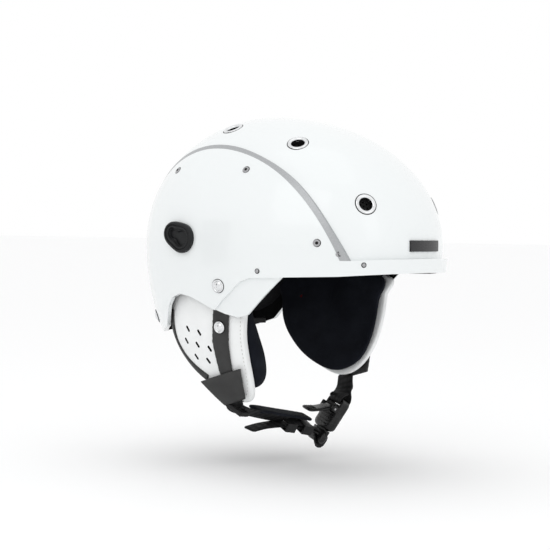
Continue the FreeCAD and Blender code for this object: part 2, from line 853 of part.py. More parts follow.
# ---------------------------------------------------------------- ear pads
# outlines in side view before each side's own lean and stretch
PAD_EDGE = [(53, -20), (52, -62), (49, -80), (38, -98), (22, -115), (2, -129), (-16, -135), (-32, -132),
            (-41, -118), (-45, -95), (-48, -66), (-54, -20)]
FRONT_STRAP = [(-3, -52), (-2.5, -85), (-9, -112), (-23, -112), (-20, -85), (-20, -52)]
REAR_STRAP = [(52, -71), (41, -71), (31, -90), (14, -110), (24, -118), (43, -98), (51, -80)]
SLEEVE = [(14, -119), (-33, -105.5), (-34, -130), (-10, -137.5)]
STRAP_SNAP = (-11.0, -73.0)
SLOT_CENTRE = (19.0, -89.0)
SLOT_SLANT = 52.0
PAD_LEVEL = -50.0


def hang(points, name):
    """Side-view points moved by the way the soft pad of one side hangs: it leans, stretches and shifts."""
    lean = size(f"{name}_lean") / 60
    stretch = size(f"{name}_stretch")
    shift = size(f"{name}_shift")
    return [
        (along + shift + lean * (PAD_LEVEL - height), PAD_LEVEL + (height - PAD_LEVEL) * stretch)
        for along, height in points
    ]


def front_edge_moved(points, shift):
    """Side-view points of a pad with its front edge moved back, less and less towards its tip."""
    moved = []
    for along, height in points:
        if along < size("front_fixed"):
            along += shift * min(1.0, (height - size("tip_level")) / size("tip_fade"))
        moved.append((along, height))
    return moved


def ear_hinge(side):
    """Point and direction of the leather hinge line of an ear pad; positive opens it outward."""
    spot = Vector(side * size("ear_hinge_out"), 0, size("ear_hinge_level"))
    return spot, Vector(0, -side, 0)


def ear_pad(name, side):
    """Leather skin with slots, soft core, lining, two straps, chin-strap sleeve and press stud."""
    depth = size("pad_drop")
    gap = size("layer_gap")
    top = below_liner_edge(-PAD_TOP_DROP)
    edge = front_edge_moved(PAD_EDGE, size(f"{name}_front"))
    outline = prism(hang(edge, name)).common(top).common(half(side))
    lining_edge = PAD_EDGE if name == "right" else edge
    lining_outline = prism(hang(lining_edge, name)).common(top).common(half(side))
    pivot, axis = ear_hinge(side)

    def settle(label, shape):
        shape.rotate(pivot, axis, size(f"{name}_splay"))
        feature(label, shape)

    def sheet_between(face, thick, region):
        return layer(-face, -face - thick, drop=depth).common(region)

    face = size("strap_face")
    skin_face = face + size("strap_thick") + gap
    core_face = skin_face + size("pad_skin") + gap
    lining_face = core_face + size("pad_core") + gap

    skin = sheet_between(skin_face, size("pad_skin"), outline)
    skin = cut_all(skin, slots(name, side))
    settle(f"ear_skin_{name}", skin)
    settle(f"ear_core_{name}", sheet_between(core_face, size("pad_core"), outline))
    settle(f"ear_lining_{name}", sheet_between(lining_face, size("pad_lining"), lining_outline))

    for part_name, points in (("front", FRONT_STRAP), ("rear", REAR_STRAP)):
        region = prism(hang(points, name)).common(top).common(half(side))
        strap = sheet_between(face, size("strap_thick"), region)
        if part_name == "front":
            (along, height), = hang([STRAP_SNAP], name)
            spot, normal = seat(along, height, side, -face, drop=depth)
            strap = strap.cut(drill(size("snap_post"), size("strap_thick") - 0.2, spot, normal))
            strap = strap.cut(drill(size("pad_snap_radius"), 0.2, spot, normal))
        settle(f"ear_strap_{part_name}_{name}", strap)
    sleeve_region = prism(hang(SLEEVE, name)).common(half(side))
    sleeve = sheet_between(size("sleeve_face"), face - size("sleeve_face") - gap, sleeve_region)
    settle(f"strap_sleeve_{name}", sleeve)

    cap = snap_cap(f"ear_snap_{name}", "pad_snap_radius", "pad_snap_post")
    on_seat(cap, spot, normal, sink=0.2)
    swing = Placement(Vector(0, 0, 0), Rotation(axis, size(f"{name}_splay")), pivot)
    cap.Placement = swing.multiply(cap.Placement)
    keep(cap)


def slots(name, side):
    """Seven slanted ventilation slots: one in the middle and six round it."""
    tools = []
    (along0, height0), = hang([SLOT_CENTRE], name)
    ring = size("slot_ring")
    places = [(0.0, 0.0)]
    for step in range(6):
        turn = math.radians(12 + 60 * step)
        places.append((ring * math.cos(turn), ring * math.sin(turn)))
    radius = size("slot_width") / 2
    reach = (size("slot_length") - size("slot_width")) / 2
    slant = math.radians(SLOT_SLANT)
    for shift_along, shift_up in places:
        spot, normal = seat(along0 + shift_along, height0 + shift_up, side, -8.0, drop=size("pad_drop"))
        for sign in (-1, 1):
            end = spot + Vector(0, sign * reach * math.cos(slant), sign * reach * math.sin(slant))
            tools.append(drill(radius, 4.5, end, normal, height=3.0))
        middle = Part.makeBox(9.0, 2 * reach, 2 * radius, Vector(-4.5, -reach, -radius))
        middle.rotate(Vector(0, 0, 0), Vector(1, 0, 0), SLOT_SLANT)
        turn = Rotation(Vector(side, 0, 0), normal)
        middle.Placement = Placement(spot, turn).multiply(middle.Placement)
        tools.append(middle)
    return tools


# ---------------------------------------------------------------- chin strap and buckle
# centres of the webbing along the strap, from the wearer's right to the left
WEBBING = [(-63, -9.3, -157.2), (-46, -11, -159.3), (-20, -15, -162.5), (5, -21, -166.5), (20, -25, -169.5),
           (30, -28.5, -173.5)]
TAIL = [(-46, -6, -170.5), (-28, -12, -167.8), (-12, -16.5, -167.6), (5, -21, -170.0), (20, -25, -173.3)]
CHIN_PAD = [(-34, -12.5, -154.2), (-20, -15, -156.6), (5, -21, -160.6), (20, -25, -163.9)]
LEFT_WEBBING = [(72.5, -33.5, -131.5), (67.5, -36.4, -136), (63, -38.6, -139.6), (59.6, -40.2, -142.3)]
KEEPERS = {"rear": ((-6, -18.2, -166.2), (25, -5.8, -4.2)), "front": ((14, -23.4, -169.9), (15, -4, -3))}
SLIDER = ((-70.5, -8.4, -156.4), (24, -2, -2.5))
BAR = Vector(36, -28, -181)
BUCKLE_UP = Vector(0.40, -0.36, 0.84).normalize()
BUCKLE_FACE = Vector(-0.79, 0.26, 0.47)
LEVER_LIFT = 30.0


def ribbon(points, width, thick, across=None):
    """Flat webbing through its centre points, tilted about its own line so that its edge dips."""
    centres = [Vector(*point) for point in points]
    tilt = math.radians(size("webbing_tilt"))
    sections = []
    for index, centre in enumerate(centres):
        before = centres[max(index - 1, 0)]
        after = centres[min(index + 1, len(centres) - 1)]
        run = (after - before).normalize()
        flat = across or (Vector(0, 0, 1).cross(run).normalize() * math.cos(tilt)
                          + Vector(0, 0, 1) * math.sin(tilt))
        wide = (flat - run * flat.dot(run)).normalize()
        face = run.cross(wide).normalize()
        corners = [
            centre + wide * (width / 2 * a) + face * (thick / 2 * b)
            for a, b in ((1, 1), (-1, 1), (-1, -1), (1, -1))
        ]
        sections.append(Part.makePolygon(corners + corners[:1]))
    return Part.makeLoft(sections, True, False)


def frame_on_strap(spot, run):
    """Placement at a place of the strap: X along it and Y across its width."""
    along = Vector(*run).normalize()
    tilt = math.radians(size("webbing_tilt"))
    flat = Vector(0, 0, 1).cross(along).normalize() * math.cos(tilt) + Vector(0, 0, 1) * math.sin(tilt)
    across = (flat - along * flat.dot(along)).normalize()
    return Placement(Vector(*spot), Rotation(along, across, along.cross(across), "XYZ"))


def keeper(label, spot, run):
    """Rubber loop that holds the webbing and its tail together."""
    body = new_body(label)
    outer = new_sketch(body, "YZ_Plane", label + "_outer")
    box_outline(outer, "0 - keeper_half", "keeper_half", "0 - keeper_under", "keeper_over")
    pad(body, outer, "keeper_long", middle=True)
    inner = new_sketch(body, "YZ_Plane", label + "_inner")
    box_outline(
        inner,
        "keeper_side_wall - keeper_half",
        "keeper_half - keeper_side_wall",
        "keeper_flat_wall - keeper_under",
        "keeper_over - keeper_flat_wall",
    )
    pocket(body, inner, "keeper_long + 2", middle=True)
    body.Placement = frame_on_strap(spot, run)
    return keep(body)


def slider(label, spot, run):
    """Ladder-lock slider that shortens the webbing."""
    body = new_body(label)
    outer = new_sketch(body, "XY_Plane", label + "_outer")
    box_outline(outer, "0 - slider_reach", "slider_reach", "0 - slider_half", "slider_half")
    pad(body, outer, "slider_thick", middle=True)
    for name, left, right in (
        ("_gap_rear", "0 - slider_gap_far", "0 - slider_gap_near"),
        ("_gap_front", "slider_gap_near", "slider_gap_far"),
    ):
        gap = new_sketch(body, "XY_Plane", label + name)
        box_outline(gap, left, right, "0 - slider_gap_half", "slider_gap_half")
        pocket(body, gap, "slider_thick + slider_thick", middle=True)
    body.Placement = frame_on_strap(spot, run)
    return keep(body)


def buckle_frame(height):
    """Placement of a buckle piece whose own Z is the strap's pull and whose own Y is the outer face."""
    face = (BUCKLE_FACE - BUCKLE_UP * BUCKLE_FACE.dot(BUCKLE_UP)).normalize()
    width = face.cross(BUCKLE_UP)
    return Placement(BAR + BUCKLE_UP * height, Rotation(width, face, BUCKLE_UP, "ZYX"))


def half_width_of(words):
    return f"{size(words) / 2:.4f}"


NOTCHES = 4
FIRST_NOTCH = 13.0
NOTCH_PITCH = 3.6
HOUSING_FOOT = 8.0
PIN_HEIGHT = 20.0
PIN_OUT = 7.2


def buckle():
    """Housing, ratchet tongue, release lever with its pin, and the webbing loops on the two bars."""
    reach = half_width_of("buckle_width")
    body = new_body("buckle_housing_block")
    outline = new_sketch(body, "XZ_Plane", "housing_outline")
    box_outline(outline, "0 - " + reach, reach, "0", "buckle_length")
    block_pad = pad(body, outline, "buckle_thick", middle=True)
    doc.recompute()
    upright = [
        f"Edge{index + 1}"
        for index, edge in enumerate(block_pad.Shape.Edges)
        if edge.BoundBox.YLength > 1 and edge.BoundBox.ZLength < 1e-6
    ]
    rounding = body.newObject("PartDesign::Fillet", "housing_corners")
    rounding.Base = (block_pad, upright)
    rounding.Radius = size("buckle_corner")
    rounding.setExpression("Radius", "Sizes.buckle_corner")
    mouth = new_sketch(body, "XY_Plane", "housing_mouth")
    wide = half_width_of("tongue_width + tongue_clear + tongue_clear")
    thick = half_width_of("tongue_thick + tongue_clear + tongue_clear")
    box_outline(mouth, "0 - " + wide, wide, "0 - " + thick, thick)
    pocket(body, mouth, "tongue_insert + 1", reverse=True)
    strap_slot = new_sketch(body, "XZ_Plane", "housing_strap_slot")
    slot = half_width_of("bar_slot")
    box_outline(strap_slot, "0 - " + slot, slot, "25.6", "29.4")
    pocket(body, strap_slot, "buckle_thick + 2", middle=True)
    doc.recompute()
    ears = []
    ear_inner = size("release_width") / 2 + 0.3
    for side in (-1, 1):
        low, high = sorted((side * ear_inner, side * (ear_inner + 3.4)))
        ears.append(block((low, high), (4.0, PIN_OUT + 2.6), (PIN_HEIGHT - 3, PIN_HEIGHT + 3)))
    pin = Part.makeCylinder(size("release_pin"), 2 * ear_inner + 6.8,
                            Vector(-ear_inner - 3.4, PIN_OUT, PIN_HEIGHT), Vector(1, 0, 0))
    place = buckle_frame(HOUSING_FOOT)
    housing = body.Shape.fuse(ears[0]).fuse(ears[1]).cut(pin).removeSplitter()
    housing.Placement = place
    feature("buckle_housing", housing)
    pin.Placement = place.multiply(pin.Placement)
    feature("release_pin", pin)

    bore = size("release_pin + running_gap")
    barrel_radius = size("release_barrel")
    half_tab = size("release_width") / 2
    axis_spot = Vector(-half_tab, PIN_OUT, PIN_HEIGHT)
    barrel = Part.makeCylinder(barrel_radius, 2 * half_tab, axis_spot, Vector(1, 0, 0))
    plate = block((-half_tab, half_tab), (PIN_OUT - size("release_thick") / 2,
                  PIN_OUT + size("release_thick") / 2), (PIN_HEIGHT - size("release_length"), PIN_HEIGHT))
    lever = barrel.fuse(plate)
    lever = lever.cut(Part.makeCylinder(bore, 2 * half_tab + 2, axis_spot - Vector(1, 0, 0),
                                        Vector(1, 0, 0))).removeSplitter()
    lever.rotate(axis_spot, Vector(1, 0, 0), LEVER_LIFT)
    lever.Placement = place.multiply(lever.Placement)
    feature("release_lever", lever)

    tongue = new_body("ratchet_tongue")
    blade = new_sketch(tongue, "XZ_Plane", "tongue_blade")
    wide = half_width_of("tongue_width")
    box_outline(blade, "0 - " + wide, wide, "5", "7 + tongue_insert")
    pad(tongue, blade, "tongue_thick", middle=True)
    bar = new_sketch(tongue, "XZ_Plane", "tongue_bar")
    wide = half_width_of("bar_frame")
    box_outline(bar, "0 - " + wide, wide, "-4", "-4 + bar_frame_high")
    pad(tongue, bar, "tongue_thick", middle=True)
    gap = new_sketch(tongue, "XZ_Plane", "tongue_slot")
    box_outline(gap, "0 - " + slot, slot, "-2", "2")
    pocket(tongue, gap, "tongue_thick + 2", middle=True)
    for row in range(NOTCHES):
        low = FIRST_NOTCH + NOTCH_PITCH * row
        notch = new_sketch(tongue, "XZ_Plane", f"notch_{row}")
        box_outline(notch, "0 - notch_half", "notch_half", f"{low}", f"{low} + notch_high")
        pocket(tongue, notch, "tongue_thick + 2", middle=True)
    tongue.Placement = buckle_frame(0)
    keep(tongue)

    for label, low, high, height in (
        ("tongue_webbing_loop", -4.1, -1.95, 0.0),
        ("housing_webbing_loop", 29.3, 32.1, HOUSING_FOOT),
    ):
        around = 1.85
        deep = size("tongue_thick") / 2 + 0.1 if height == 0 else size("buckle_thick") / 2 + 0.1
        outer = block((-8.8, 8.8), (-deep - around, deep + around), (low - around, high + around))
        inner = block((-9, 9), (-deep, deep), (low, high))
        ring = outer.cut(inner)
        ring.Placement = buckle_frame(height)
        feature(label, ring)


def chin_strap():
    width = size("webbing_width")
    thick = size("webbing_thick")
    feature("chin_webbing", ribbon(WEBBING, width, thick))
    feature("webbing_tail", ribbon(TAIL, width - 1, thick))
    feature("chin_pad", ribbon(CHIN_PAD, width + 3, 4.0))
    face = buckle_frame(0).Rotation.multVec(Vector(1, 0, 0))
    feature("left_webbing", ribbon(LEFT_WEBBING, width, thick, across=face))
    for name, (spot, run) in KEEPERS.items():
        keeper(f"strap_keeper_{name}", spot, run)
    slider("strap_slider", *SLIDER)
    buckle()


# ---------------------------------------------------------------- build, check and write
def write_parts():
    """Every sub-part must be sound before any file is written."""
    doc.recompute()
    for thing in doc.Objects:
        if any(word in thing.State for word in ("Invalid", "Error")):
            raise RuntimeError(f"{thing.Label} failed: {thing.State}")
    for thing in nodes:
        if thing.Shape.isNull() or not thing.Shape.isValid() or thing.Shape.Volume <= 0:
            raise RuntimeError(f"{thing.Label} has no sound shape")
    os.makedirs("parts", exist_ok=True)
    for thing in nodes:
        thing.Shape.exportStep(f"parts/{thing.Label}.step")


vent_and_screw_holes = fasteners()
doc.recompute()
shells(vent_and_screw_holes)
badge()
linings()
for side_name, side_sign in SIDES.items():
    mask_socket(side_name, side_sign)
    ear_pad(side_name, side_sign)
goggle_tab()
size_adjuster()
chin_strap()
write_parts()
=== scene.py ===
import json
import math

import bmesh
import bpy
import numpy as np
from mathutils import Matrix, Vector
from mathutils.bvhtree import BVHTree


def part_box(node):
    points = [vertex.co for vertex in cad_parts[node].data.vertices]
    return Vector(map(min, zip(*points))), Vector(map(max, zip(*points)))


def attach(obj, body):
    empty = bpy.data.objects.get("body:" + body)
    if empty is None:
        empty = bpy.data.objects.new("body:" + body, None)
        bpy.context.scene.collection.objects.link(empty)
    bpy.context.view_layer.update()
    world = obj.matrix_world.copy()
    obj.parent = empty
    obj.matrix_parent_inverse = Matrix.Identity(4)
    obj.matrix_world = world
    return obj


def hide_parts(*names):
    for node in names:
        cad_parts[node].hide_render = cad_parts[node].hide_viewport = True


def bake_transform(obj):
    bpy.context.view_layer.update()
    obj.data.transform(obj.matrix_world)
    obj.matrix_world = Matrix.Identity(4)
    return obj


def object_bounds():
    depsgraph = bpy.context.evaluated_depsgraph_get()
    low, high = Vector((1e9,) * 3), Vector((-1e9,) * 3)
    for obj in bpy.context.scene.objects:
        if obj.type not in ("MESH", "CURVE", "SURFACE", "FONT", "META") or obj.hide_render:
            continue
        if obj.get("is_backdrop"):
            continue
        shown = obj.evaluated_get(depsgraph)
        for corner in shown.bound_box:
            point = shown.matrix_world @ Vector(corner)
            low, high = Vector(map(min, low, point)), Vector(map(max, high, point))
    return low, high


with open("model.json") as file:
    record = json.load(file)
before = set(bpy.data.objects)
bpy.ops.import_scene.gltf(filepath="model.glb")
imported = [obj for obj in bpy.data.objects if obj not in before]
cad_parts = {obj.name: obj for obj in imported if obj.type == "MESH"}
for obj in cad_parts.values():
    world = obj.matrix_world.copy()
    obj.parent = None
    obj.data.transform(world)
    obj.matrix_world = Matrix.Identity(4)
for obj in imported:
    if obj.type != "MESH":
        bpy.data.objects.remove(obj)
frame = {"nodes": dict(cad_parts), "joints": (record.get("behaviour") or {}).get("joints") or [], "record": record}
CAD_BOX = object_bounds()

MM = 0.001
NODES = frame["nodes"]
SIDES = {"right": -1, "left": 1}
JOINTS = {joint["name"]: joint for joint in frame["joints"]}


# ---- camera, light and floor
CAMERA_AZIMUTH = -54.94
CAMERA_ELEVATION = 0.72
CAMERA_ROLL = math.radians(-1.0)
CAMERA_DISTANCE = 1.5
CAMERA_LENS = 104.85
CAMERA_SHIFT = (-0.0011, -0.0592)
# (azimuth, elevation, distance, size, power) of each soft box
LIGHTS = {
    "key": (-80, 35, 1.5, (1.0, 1.0), 1.9),
    "front": (-12, 22, 1.6, (0.5, 1.0), 0.7),
    "top": (-40, 80, 1.4, (1.0, 1.0), 0.8),
}
FLOOR_GAP = 0.012  # room for the buckle's tongue, which draws out below the rest of the strap
FLOOR_SIZE = 60
FLOOR_COLOUR = (0.965, 0.967, 0.97)
CARD_SIZE = (0.22, 0.5)
CARD_COLOUR = (0.01, 0.01, 0.01)


def new_object(name, data):
    thing = bpy.data.objects.new(name, data)
    bpy.context.scene.collection.objects.link(thing)
    return thing


def direction(azimuth, elevation):
    """Unit vector from the helmet towards a place at two angles in degrees."""
    a, e = math.radians(azimuth), math.radians(elevation)
    return Vector((math.sin(a) * math.cos(e), -math.cos(a) * math.cos(e), math.sin(e)))


def face_helmet(thing, back, distance):
    """Moves an object out along a direction and turns its back that way."""
    thing.location = back * distance
    thing.rotation_mode = "QUATERNION"
    thing.rotation_quaternion = back.to_track_quat("Z", "Y")


def set_camera():
    data = bpy.data.cameras.new("camera")
    camera = new_object("camera", data)
    bpy.context.scene.camera = camera
    azimuth = math.radians(CAMERA_AZIMUTH)
    back = direction(CAMERA_AZIMUTH, CAMERA_ELEVATION)
    level = Vector((math.cos(azimuth), math.sin(azimuth), 0))
    up = back.cross(level)
    right = level * math.cos(CAMERA_ROLL) - up * math.sin(CAMERA_ROLL)
    above = level * math.sin(CAMERA_ROLL) + up * math.cos(CAMERA_ROLL)
    turn = Matrix((right, above, back)).transposed().to_4x4()
    camera.matrix_world = Matrix.Translation(back * CAMERA_DISTANCE) @ turn
    data.sensor_width = 36
    data.lens = CAMERA_LENS
    data.shift_x, data.shift_y = CAMERA_SHIFT
    data.clip_start, data.clip_end = 0.01, 20


def set_light():
    world = bpy.data.worlds.new("studio")
    world.use_nodes = True
    background = world.node_tree.nodes["Background"]
    background.inputs["Color"].default_value = (1, 1, 1, 1)
    background.inputs["Strength"].default_value = 1.0
    bpy.context.scene.world = world
    for name, (azimuth, elevation, distance, size, power) in LIGHTS.items():
        data = bpy.data.lights.new(name, "AREA")
        data.shape = "RECTANGLE"
        data.size, data.size_y = size
        data.energy = power
        face_helmet(new_object(name, data), direction(azimuth, elevation), distance)
    bpy.context.scene.view_settings.view_transform = "Standard"


def sheet(name, width, height, colour):
    """Flat matt rectangle of the studio."""
    x, y = width / 2, height / 2
    mesh = bpy.data.meshes.new(name)
    mesh.from_pydata([(-x, -y, 0), (x, -y, 0), (x, y, 0), (-x, y, 0)], [], [(0, 1, 2, 3)])
    mesh.materials.append(Finish(name + "_paint", colour, 0.9).material)
    return new_object(name, mesh)


def dark_card(azimuth, elevation, distance):
    """Black card outside the picture that gives the chrome something dark to reflect."""
    card = sheet("dark_card", *CARD_SIZE, CARD_COLOUR)
    face_helmet(card, direction(azimuth, elevation), distance)
    card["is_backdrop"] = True


def set_floor(level):
    """Plain pale floor below the helmet."""
    floor = sheet("floor", FLOOR_SIZE, FLOOR_SIZE, FLOOR_COLOUR)
    floor.location.z = level
    floor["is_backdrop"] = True


# ---- materials
class Finish:
    """One procedural material: a base colour with mottling, uneven gloss and one or more bump layers."""

    def __init__(self, name, colour, roughness, **sockets):
        self.material = bpy.data.materials.new(name)
        self.material.use_nodes = True
        self.nodes = self.material.node_tree.nodes
        self.link = self.material.node_tree.links.new
        self.shader = self.nodes["Principled BSDF"]
        self.colour = colour
        self.roughness = roughness
        self.shader.inputs["Base Color"].default_value = (*colour, 1)
        self.shader.inputs["Roughness"].default_value = roughness
        for socket, value in sockets.items():
            self.shader.inputs[socket.replace("_", " ")].default_value = value
        self.place = self.nodes.new("ShaderNodeTexCoord").outputs["Object"]
        self.height = None

    def node(self, kind, **values):
        """New node whose named inputs take a value or a link from another node's output."""
        made = self.nodes.new("ShaderNode" + kind)
        for name, value in values.items():
            socket = made.inputs[name.replace("_", " ")]
            if isinstance(value, bpy.types.NodeSocket):
                self.link(value, socket)
            else:
                socket.default_value = value
        return made

    def strap_map(self):
        """Place along and across a strap, from its own map."""
        return self.nodes.new("ShaderNodeTexCoord").outputs["UV"]

    def stretched(self, scale):
        return self.node("Mapping", Scale=scale, Vector=self.place).outputs["Vector"]

    def noise(self, per_metre, detail=3.0, where=None):
        node = self.node("TexNoise", Scale=per_metre, Detail=detail, Vector=where or self.place)
        return node.outputs["Fac"]

    def cells(self, per_metre, feature="F1"):
        node = self.node("TexVoronoi", Scale=per_metre, Vector=self.place)
        node.feature = feature
        return node.outputs["Distance"]

    def bands(self, per_metre, across, where):
        node = self.node("TexWave", Scale=per_metre / 20, Distortion=0, Vector=where)
        node.bands_direction = across
        return node.outputs["Fac"]

    def maths(self, operation, first, second):
        node = self.nodes.new("ShaderNodeMath")
        node.operation = operation
        for socket, value in zip(node.inputs, (first, second)):
            if isinstance(value, (int, float)):
                socket.default_value = value
            else:
                self.link(value, socket)
        return node.outputs[0]

    def spread(self, source, low, high):
        limits = {"From_Min": 0.3, "From_Max": 0.7, "To_Min": low, "To_Max": high}
        return self.node("MapRange", Value=source, **limits).outputs["Result"]

    def mottle(self, source, other, low=0.3, high=0.7):
        """Mixes the base colour towards another one where the source is high."""
        ramp = self.nodes.new("ShaderNodeValToRGB")
        ramp.color_ramp.elements[0].position = low
        ramp.color_ramp.elements[1].position = high
        ramp.color_ramp.elements[0].color = (*self.colour, 1)
        ramp.color_ramp.elements[1].color = (*other, 1)
        self.link(source, ramp.inputs["Fac"])
        self.link(ramp.outputs["Color"], self.shader.inputs["Base Color"])

    def uneven_gloss(self, source, amount):
        low, high = max(self.roughness - amount, 0.02), self.roughness + amount
        self.link(self.spread(source, low, high), self.shader.inputs["Roughness"])

    def bump(self, source, depth, strength=1.0):
        """Adds a bump layer of a real depth in metres on top of the earlier ones."""
        layer = self.node("Bump", Distance=depth, Strength=strength, Height=source)
        if self.height is not None:
            self.link(self.height, layer.inputs["Normal"])
        self.height = layer.outputs["Normal"]
        self.link(self.height, self.shader.inputs["Normal"])


def leather(name, colour, worn, roughness, grain=750):
    """Fine pebbled leather with soft creases and a slightly uneven colour."""
    skin = Finish(name, colour, roughness, Coat_Weight=0.06, Coat_Roughness=0.4, Specular_IOR_Level=0.3)
    skin.mottle(skin.noise(60, 4), worn, 0.35, 0.75)
    skin.uneven_gloss(skin.noise(240), 0.08)
    skin.bump(skin.cells(grain, "DISTANCE_TO_EDGE"), 0.00035, 0.55)
    skin.bump(skin.noise(90, 5), 0.0008, 0.25)
    return skin.material


def shell_paint(name, colour):
    """Clear-coated paint with the faintest orange peel."""
    paint = Finish(name, colour, 0.22, Coat_Weight=0.6, Coat_Roughness=0.06)
    paint.mottle(paint.noise(9, 2), tuple(c * 0.985 for c in colour))
    paint.uneven_gloss(paint.noise(35), 0.03)
    paint.bump(paint.noise(420, 2), 0.00006, 0.35)
    return paint.material


def silver_paint(name):
    paint = Finish(name, (0.36, 0.37, 0.38), 0.38, Metallic=0.55, Coat_Weight=0.15, Coat_Roughness=0.15)
    paint.mottle(paint.cells(1800), (0.46, 0.47, 0.48), 0.2, 0.8)
    paint.bump(paint.noise(900), 0.00004, 0.4)
    return paint.material


def metal(name, colour, roughness, scratches):
    polish = Finish(name, colour, roughness, Metallic=1.0)
    polish.mottle(polish.noise(300), tuple(c * 0.9 for c in colour))
    fine = polish.noise(1500, 4, polish.stretched((1, 1, 12)))
    polish.uneven_gloss(fine, roughness * 0.4)
    polish.bump(fine, 0.00003, scratches)
    return polish.material


def moulded(name, colour, roughness, texture=0.3, shine=0.25):
    """Moulded plastic with a spark-eroded grain and a tone that is a little lighter in random patches."""
    plastic = Finish(name, colour, roughness, Specular_IOR_Level=shine)
    plastic.mottle(plastic.noise(150, 4), tuple(c * 1.3 + 0.002 for c in colour), 0.4, 0.8)
    plastic.uneven_gloss(plastic.noise(700), 0.08)
    plastic.bump(plastic.noise(2600, 2), 0.00008, texture)
    return plastic.material


def foam(name, colour):
    beads = Finish(name, colour, 0.85, Specular_IOR_Level=0.08)
    edges = beads.cells(330, "DISTANCE_TO_EDGE")
    # the seams between the beads stay darker where the bump dips: painted shade in the grooves between beads
    beads.mottle(edges, tuple(c * 1.5 for c in colour), 0.0, 0.35)
    beads.bump(edges, 0.0006, 0.5)
    beads.bump(beads.noise(1800), 0.0001, 0.5)
    return beads.material


def knit(name, colour, lighter, loops=700):
    """Brushed lining knit: rows of small loops under a soft nap."""
    cloth = Finish(name, colour, 0.9, Sheen_Weight=0.04, Sheen_Roughness=0.5, Specular_IOR_Level=0.05)
    cloth.mottle(cloth.noise(45, 5), lighter, 0.35, 0.8)
    cloth.bump(cloth.cells(loops), 0.0004, 0.5)
    cloth.bump(cloth.noise(2500, 4), 0.0003, 0.5)
    return cloth.material


def webbing_weave(name, colour, lighter):
    """Twill webbing: ribs across the strap crossed by finer yarns along it."""
    cloth = Finish(name, colour, 0.62, Sheen_Weight=0.03, Sheen_Roughness=0.4, Specular_IOR_Level=0.14)
    run = cloth.strap_map()
    ribs = cloth.bands(900, "X", run)
    yarns = cloth.bands(1300, "Y", run)
    diagonal = cloth.bands(650, "DIAGONAL", run)
    weave = cloth.maths("MULTIPLY", ribs, cloth.maths("ADD", cloth.maths("MULTIPLY", yarns, 0.6), 0.4))
    weave = cloth.maths("ADD", weave, cloth.maths("MULTIPLY", diagonal, 0.5))
    # the raised yarns are painted lighter and the hollows between them darker: painted sheen and shade on the
    # weave
    cloth.mottle(weave, lighter, 0.2, 1.2)
    cloth.bump(weave, 0.00035, 0.7)
    cloth.bump(cloth.noise(3000), 0.0001, 0.5)
    return cloth.material


# each material's maker and what it is given after the name
LOOKS = {
    "white_shell": (shell_paint, (0.825, 0.852, 0.856)),
    "socket_black": (moulded, (0.008, 0.0085, 0.0095), 0.42, 0.2),
    "silver_trim": (silver_paint,),
    "chrome": (metal, (0.80, 0.81, 0.82), 0.09, 0.2),
    "screw_steel": (metal, (0.42, 0.42, 0.43), 0.22, 0.5),
    # the vent mesh's black, also given to the rings and plugs of painted shade at the chrome and the screws
    "vent_mesh": (moulded, (0.010, 0.010, 0.010), 0.6, 0.3, 0.1),
    "badge_dark": (moulded, (0.012, 0.012, 0.014), 0.22, 0.1, 0.4),
    "liner_foam": (foam, (0.007, 0.007, 0.008)),
    "comfort_fabric": (knit, (0.006, 0.006, 0.0065), (0.011, 0.011, 0.012)),
    "white_leather": (leather, (0.88, 0.893, 0.893), (0.84, 0.852, 0.852), 0.5),
    "pad_core": (foam, (0.02, 0.02, 0.02)),
    "pad_lining": (knit, (0.0075, 0.0085, 0.0125), (0.014, 0.016, 0.022), 900),
    "dark_leather": (leather, (0.022, 0.022, 0.022), (0.042, 0.042, 0.042), 0.55, 900),
    "webbing": (webbing_weave, (0.0045, 0.0045, 0.005), (0.018, 0.018, 0.019)),
    "black_plastic": (moulded, (0.007, 0.007, 0.0075), 0.42),
    "buckle_plastic": (moulded, (0.006, 0.006, 0.0065), 0.3, 0.2, 0.35),
    # near-black inside of the ear pads' slots: the dark core seen through them, made darker as painted shade in
    # the narrow slots
    "slot_dark": (foam, (0.006, 0.006, 0.006)),
    "white_thread": (knit, (0.72, 0.72, 0.70), (0.62, 0.61, 0.60), 2500),
    "inner_dark": (moulded, (0.006, 0.006, 0.0065), 0.7, 0.3, 0.05),
    "tag_red": (knit, (0.055, 0.004, 0.006), (0.075, 0.006, 0.008), 2500),
}
INNER_WALL = -0.45  # faces of the shells that look this much towards the head are inner walls


def finish_cad_nodes():
    """Gives every CAD node the material of its slot; the shells' faces that look towards the head get a near-black
    material.
    """
    slots = {row["node"]: row["material_slot"] for row in frame["record"]["subparts"]}
    for name, node in NODES.items():
        node.data.materials.clear()
        node.data.materials.append(MATERIALS[slots[name]])
    for name in ("lower_shell", "crown_shell"):
        mesh = NODES[name].data
        mesh.materials.append(MATERIALS["inner_dark"])
        for face in mesh.polygons:
            if face.normal.dot(face.center.normalized()) < INNER_WALL:
                face.material_index = 1
    return slots


# ---- mesh tools
def from_bmesh(name, work):
    mesh = bpy.data.meshes.new(name)
    work.to_mesh(mesh)
    work.free()
    return new_object(name, mesh)


def closed_mesh(name, work):
    """Object of a finished closed form, with its faces turned outward."""
    bmesh.ops.recalc_face_normals(work, faces=work.faces)
    return from_bmesh(name, work)


def bridge(work, rings):
    """Quads between closed loops of points that follow one another."""
    for near, far in zip(rings, rings[1:]):
        for k in range(len(near)):
            j = (k + 1) % len(near)
            work.faces.new((near[k], near[j], far[j], far[k]))


def circle(work, centre, flat, other, radius, sides):
    """Loop of points round a centre, in the plane of two directions."""
    turns = [2 * math.pi * k / sides for k in range(sides)]
    return [work.verts.new(centre + (flat * math.cos(a) + other * math.sin(a)) * radius) for a in turns]


def close_ends(work, rings):
    work.faces.new(rings[0][::-1])
    work.faces.new(rings[-1])


def run_at(line, index):
    """Direction of a line of points at one of them."""
    return (line[min(index + 1, len(line) - 1)] - line[max(index - 1, 0)]).normalized()


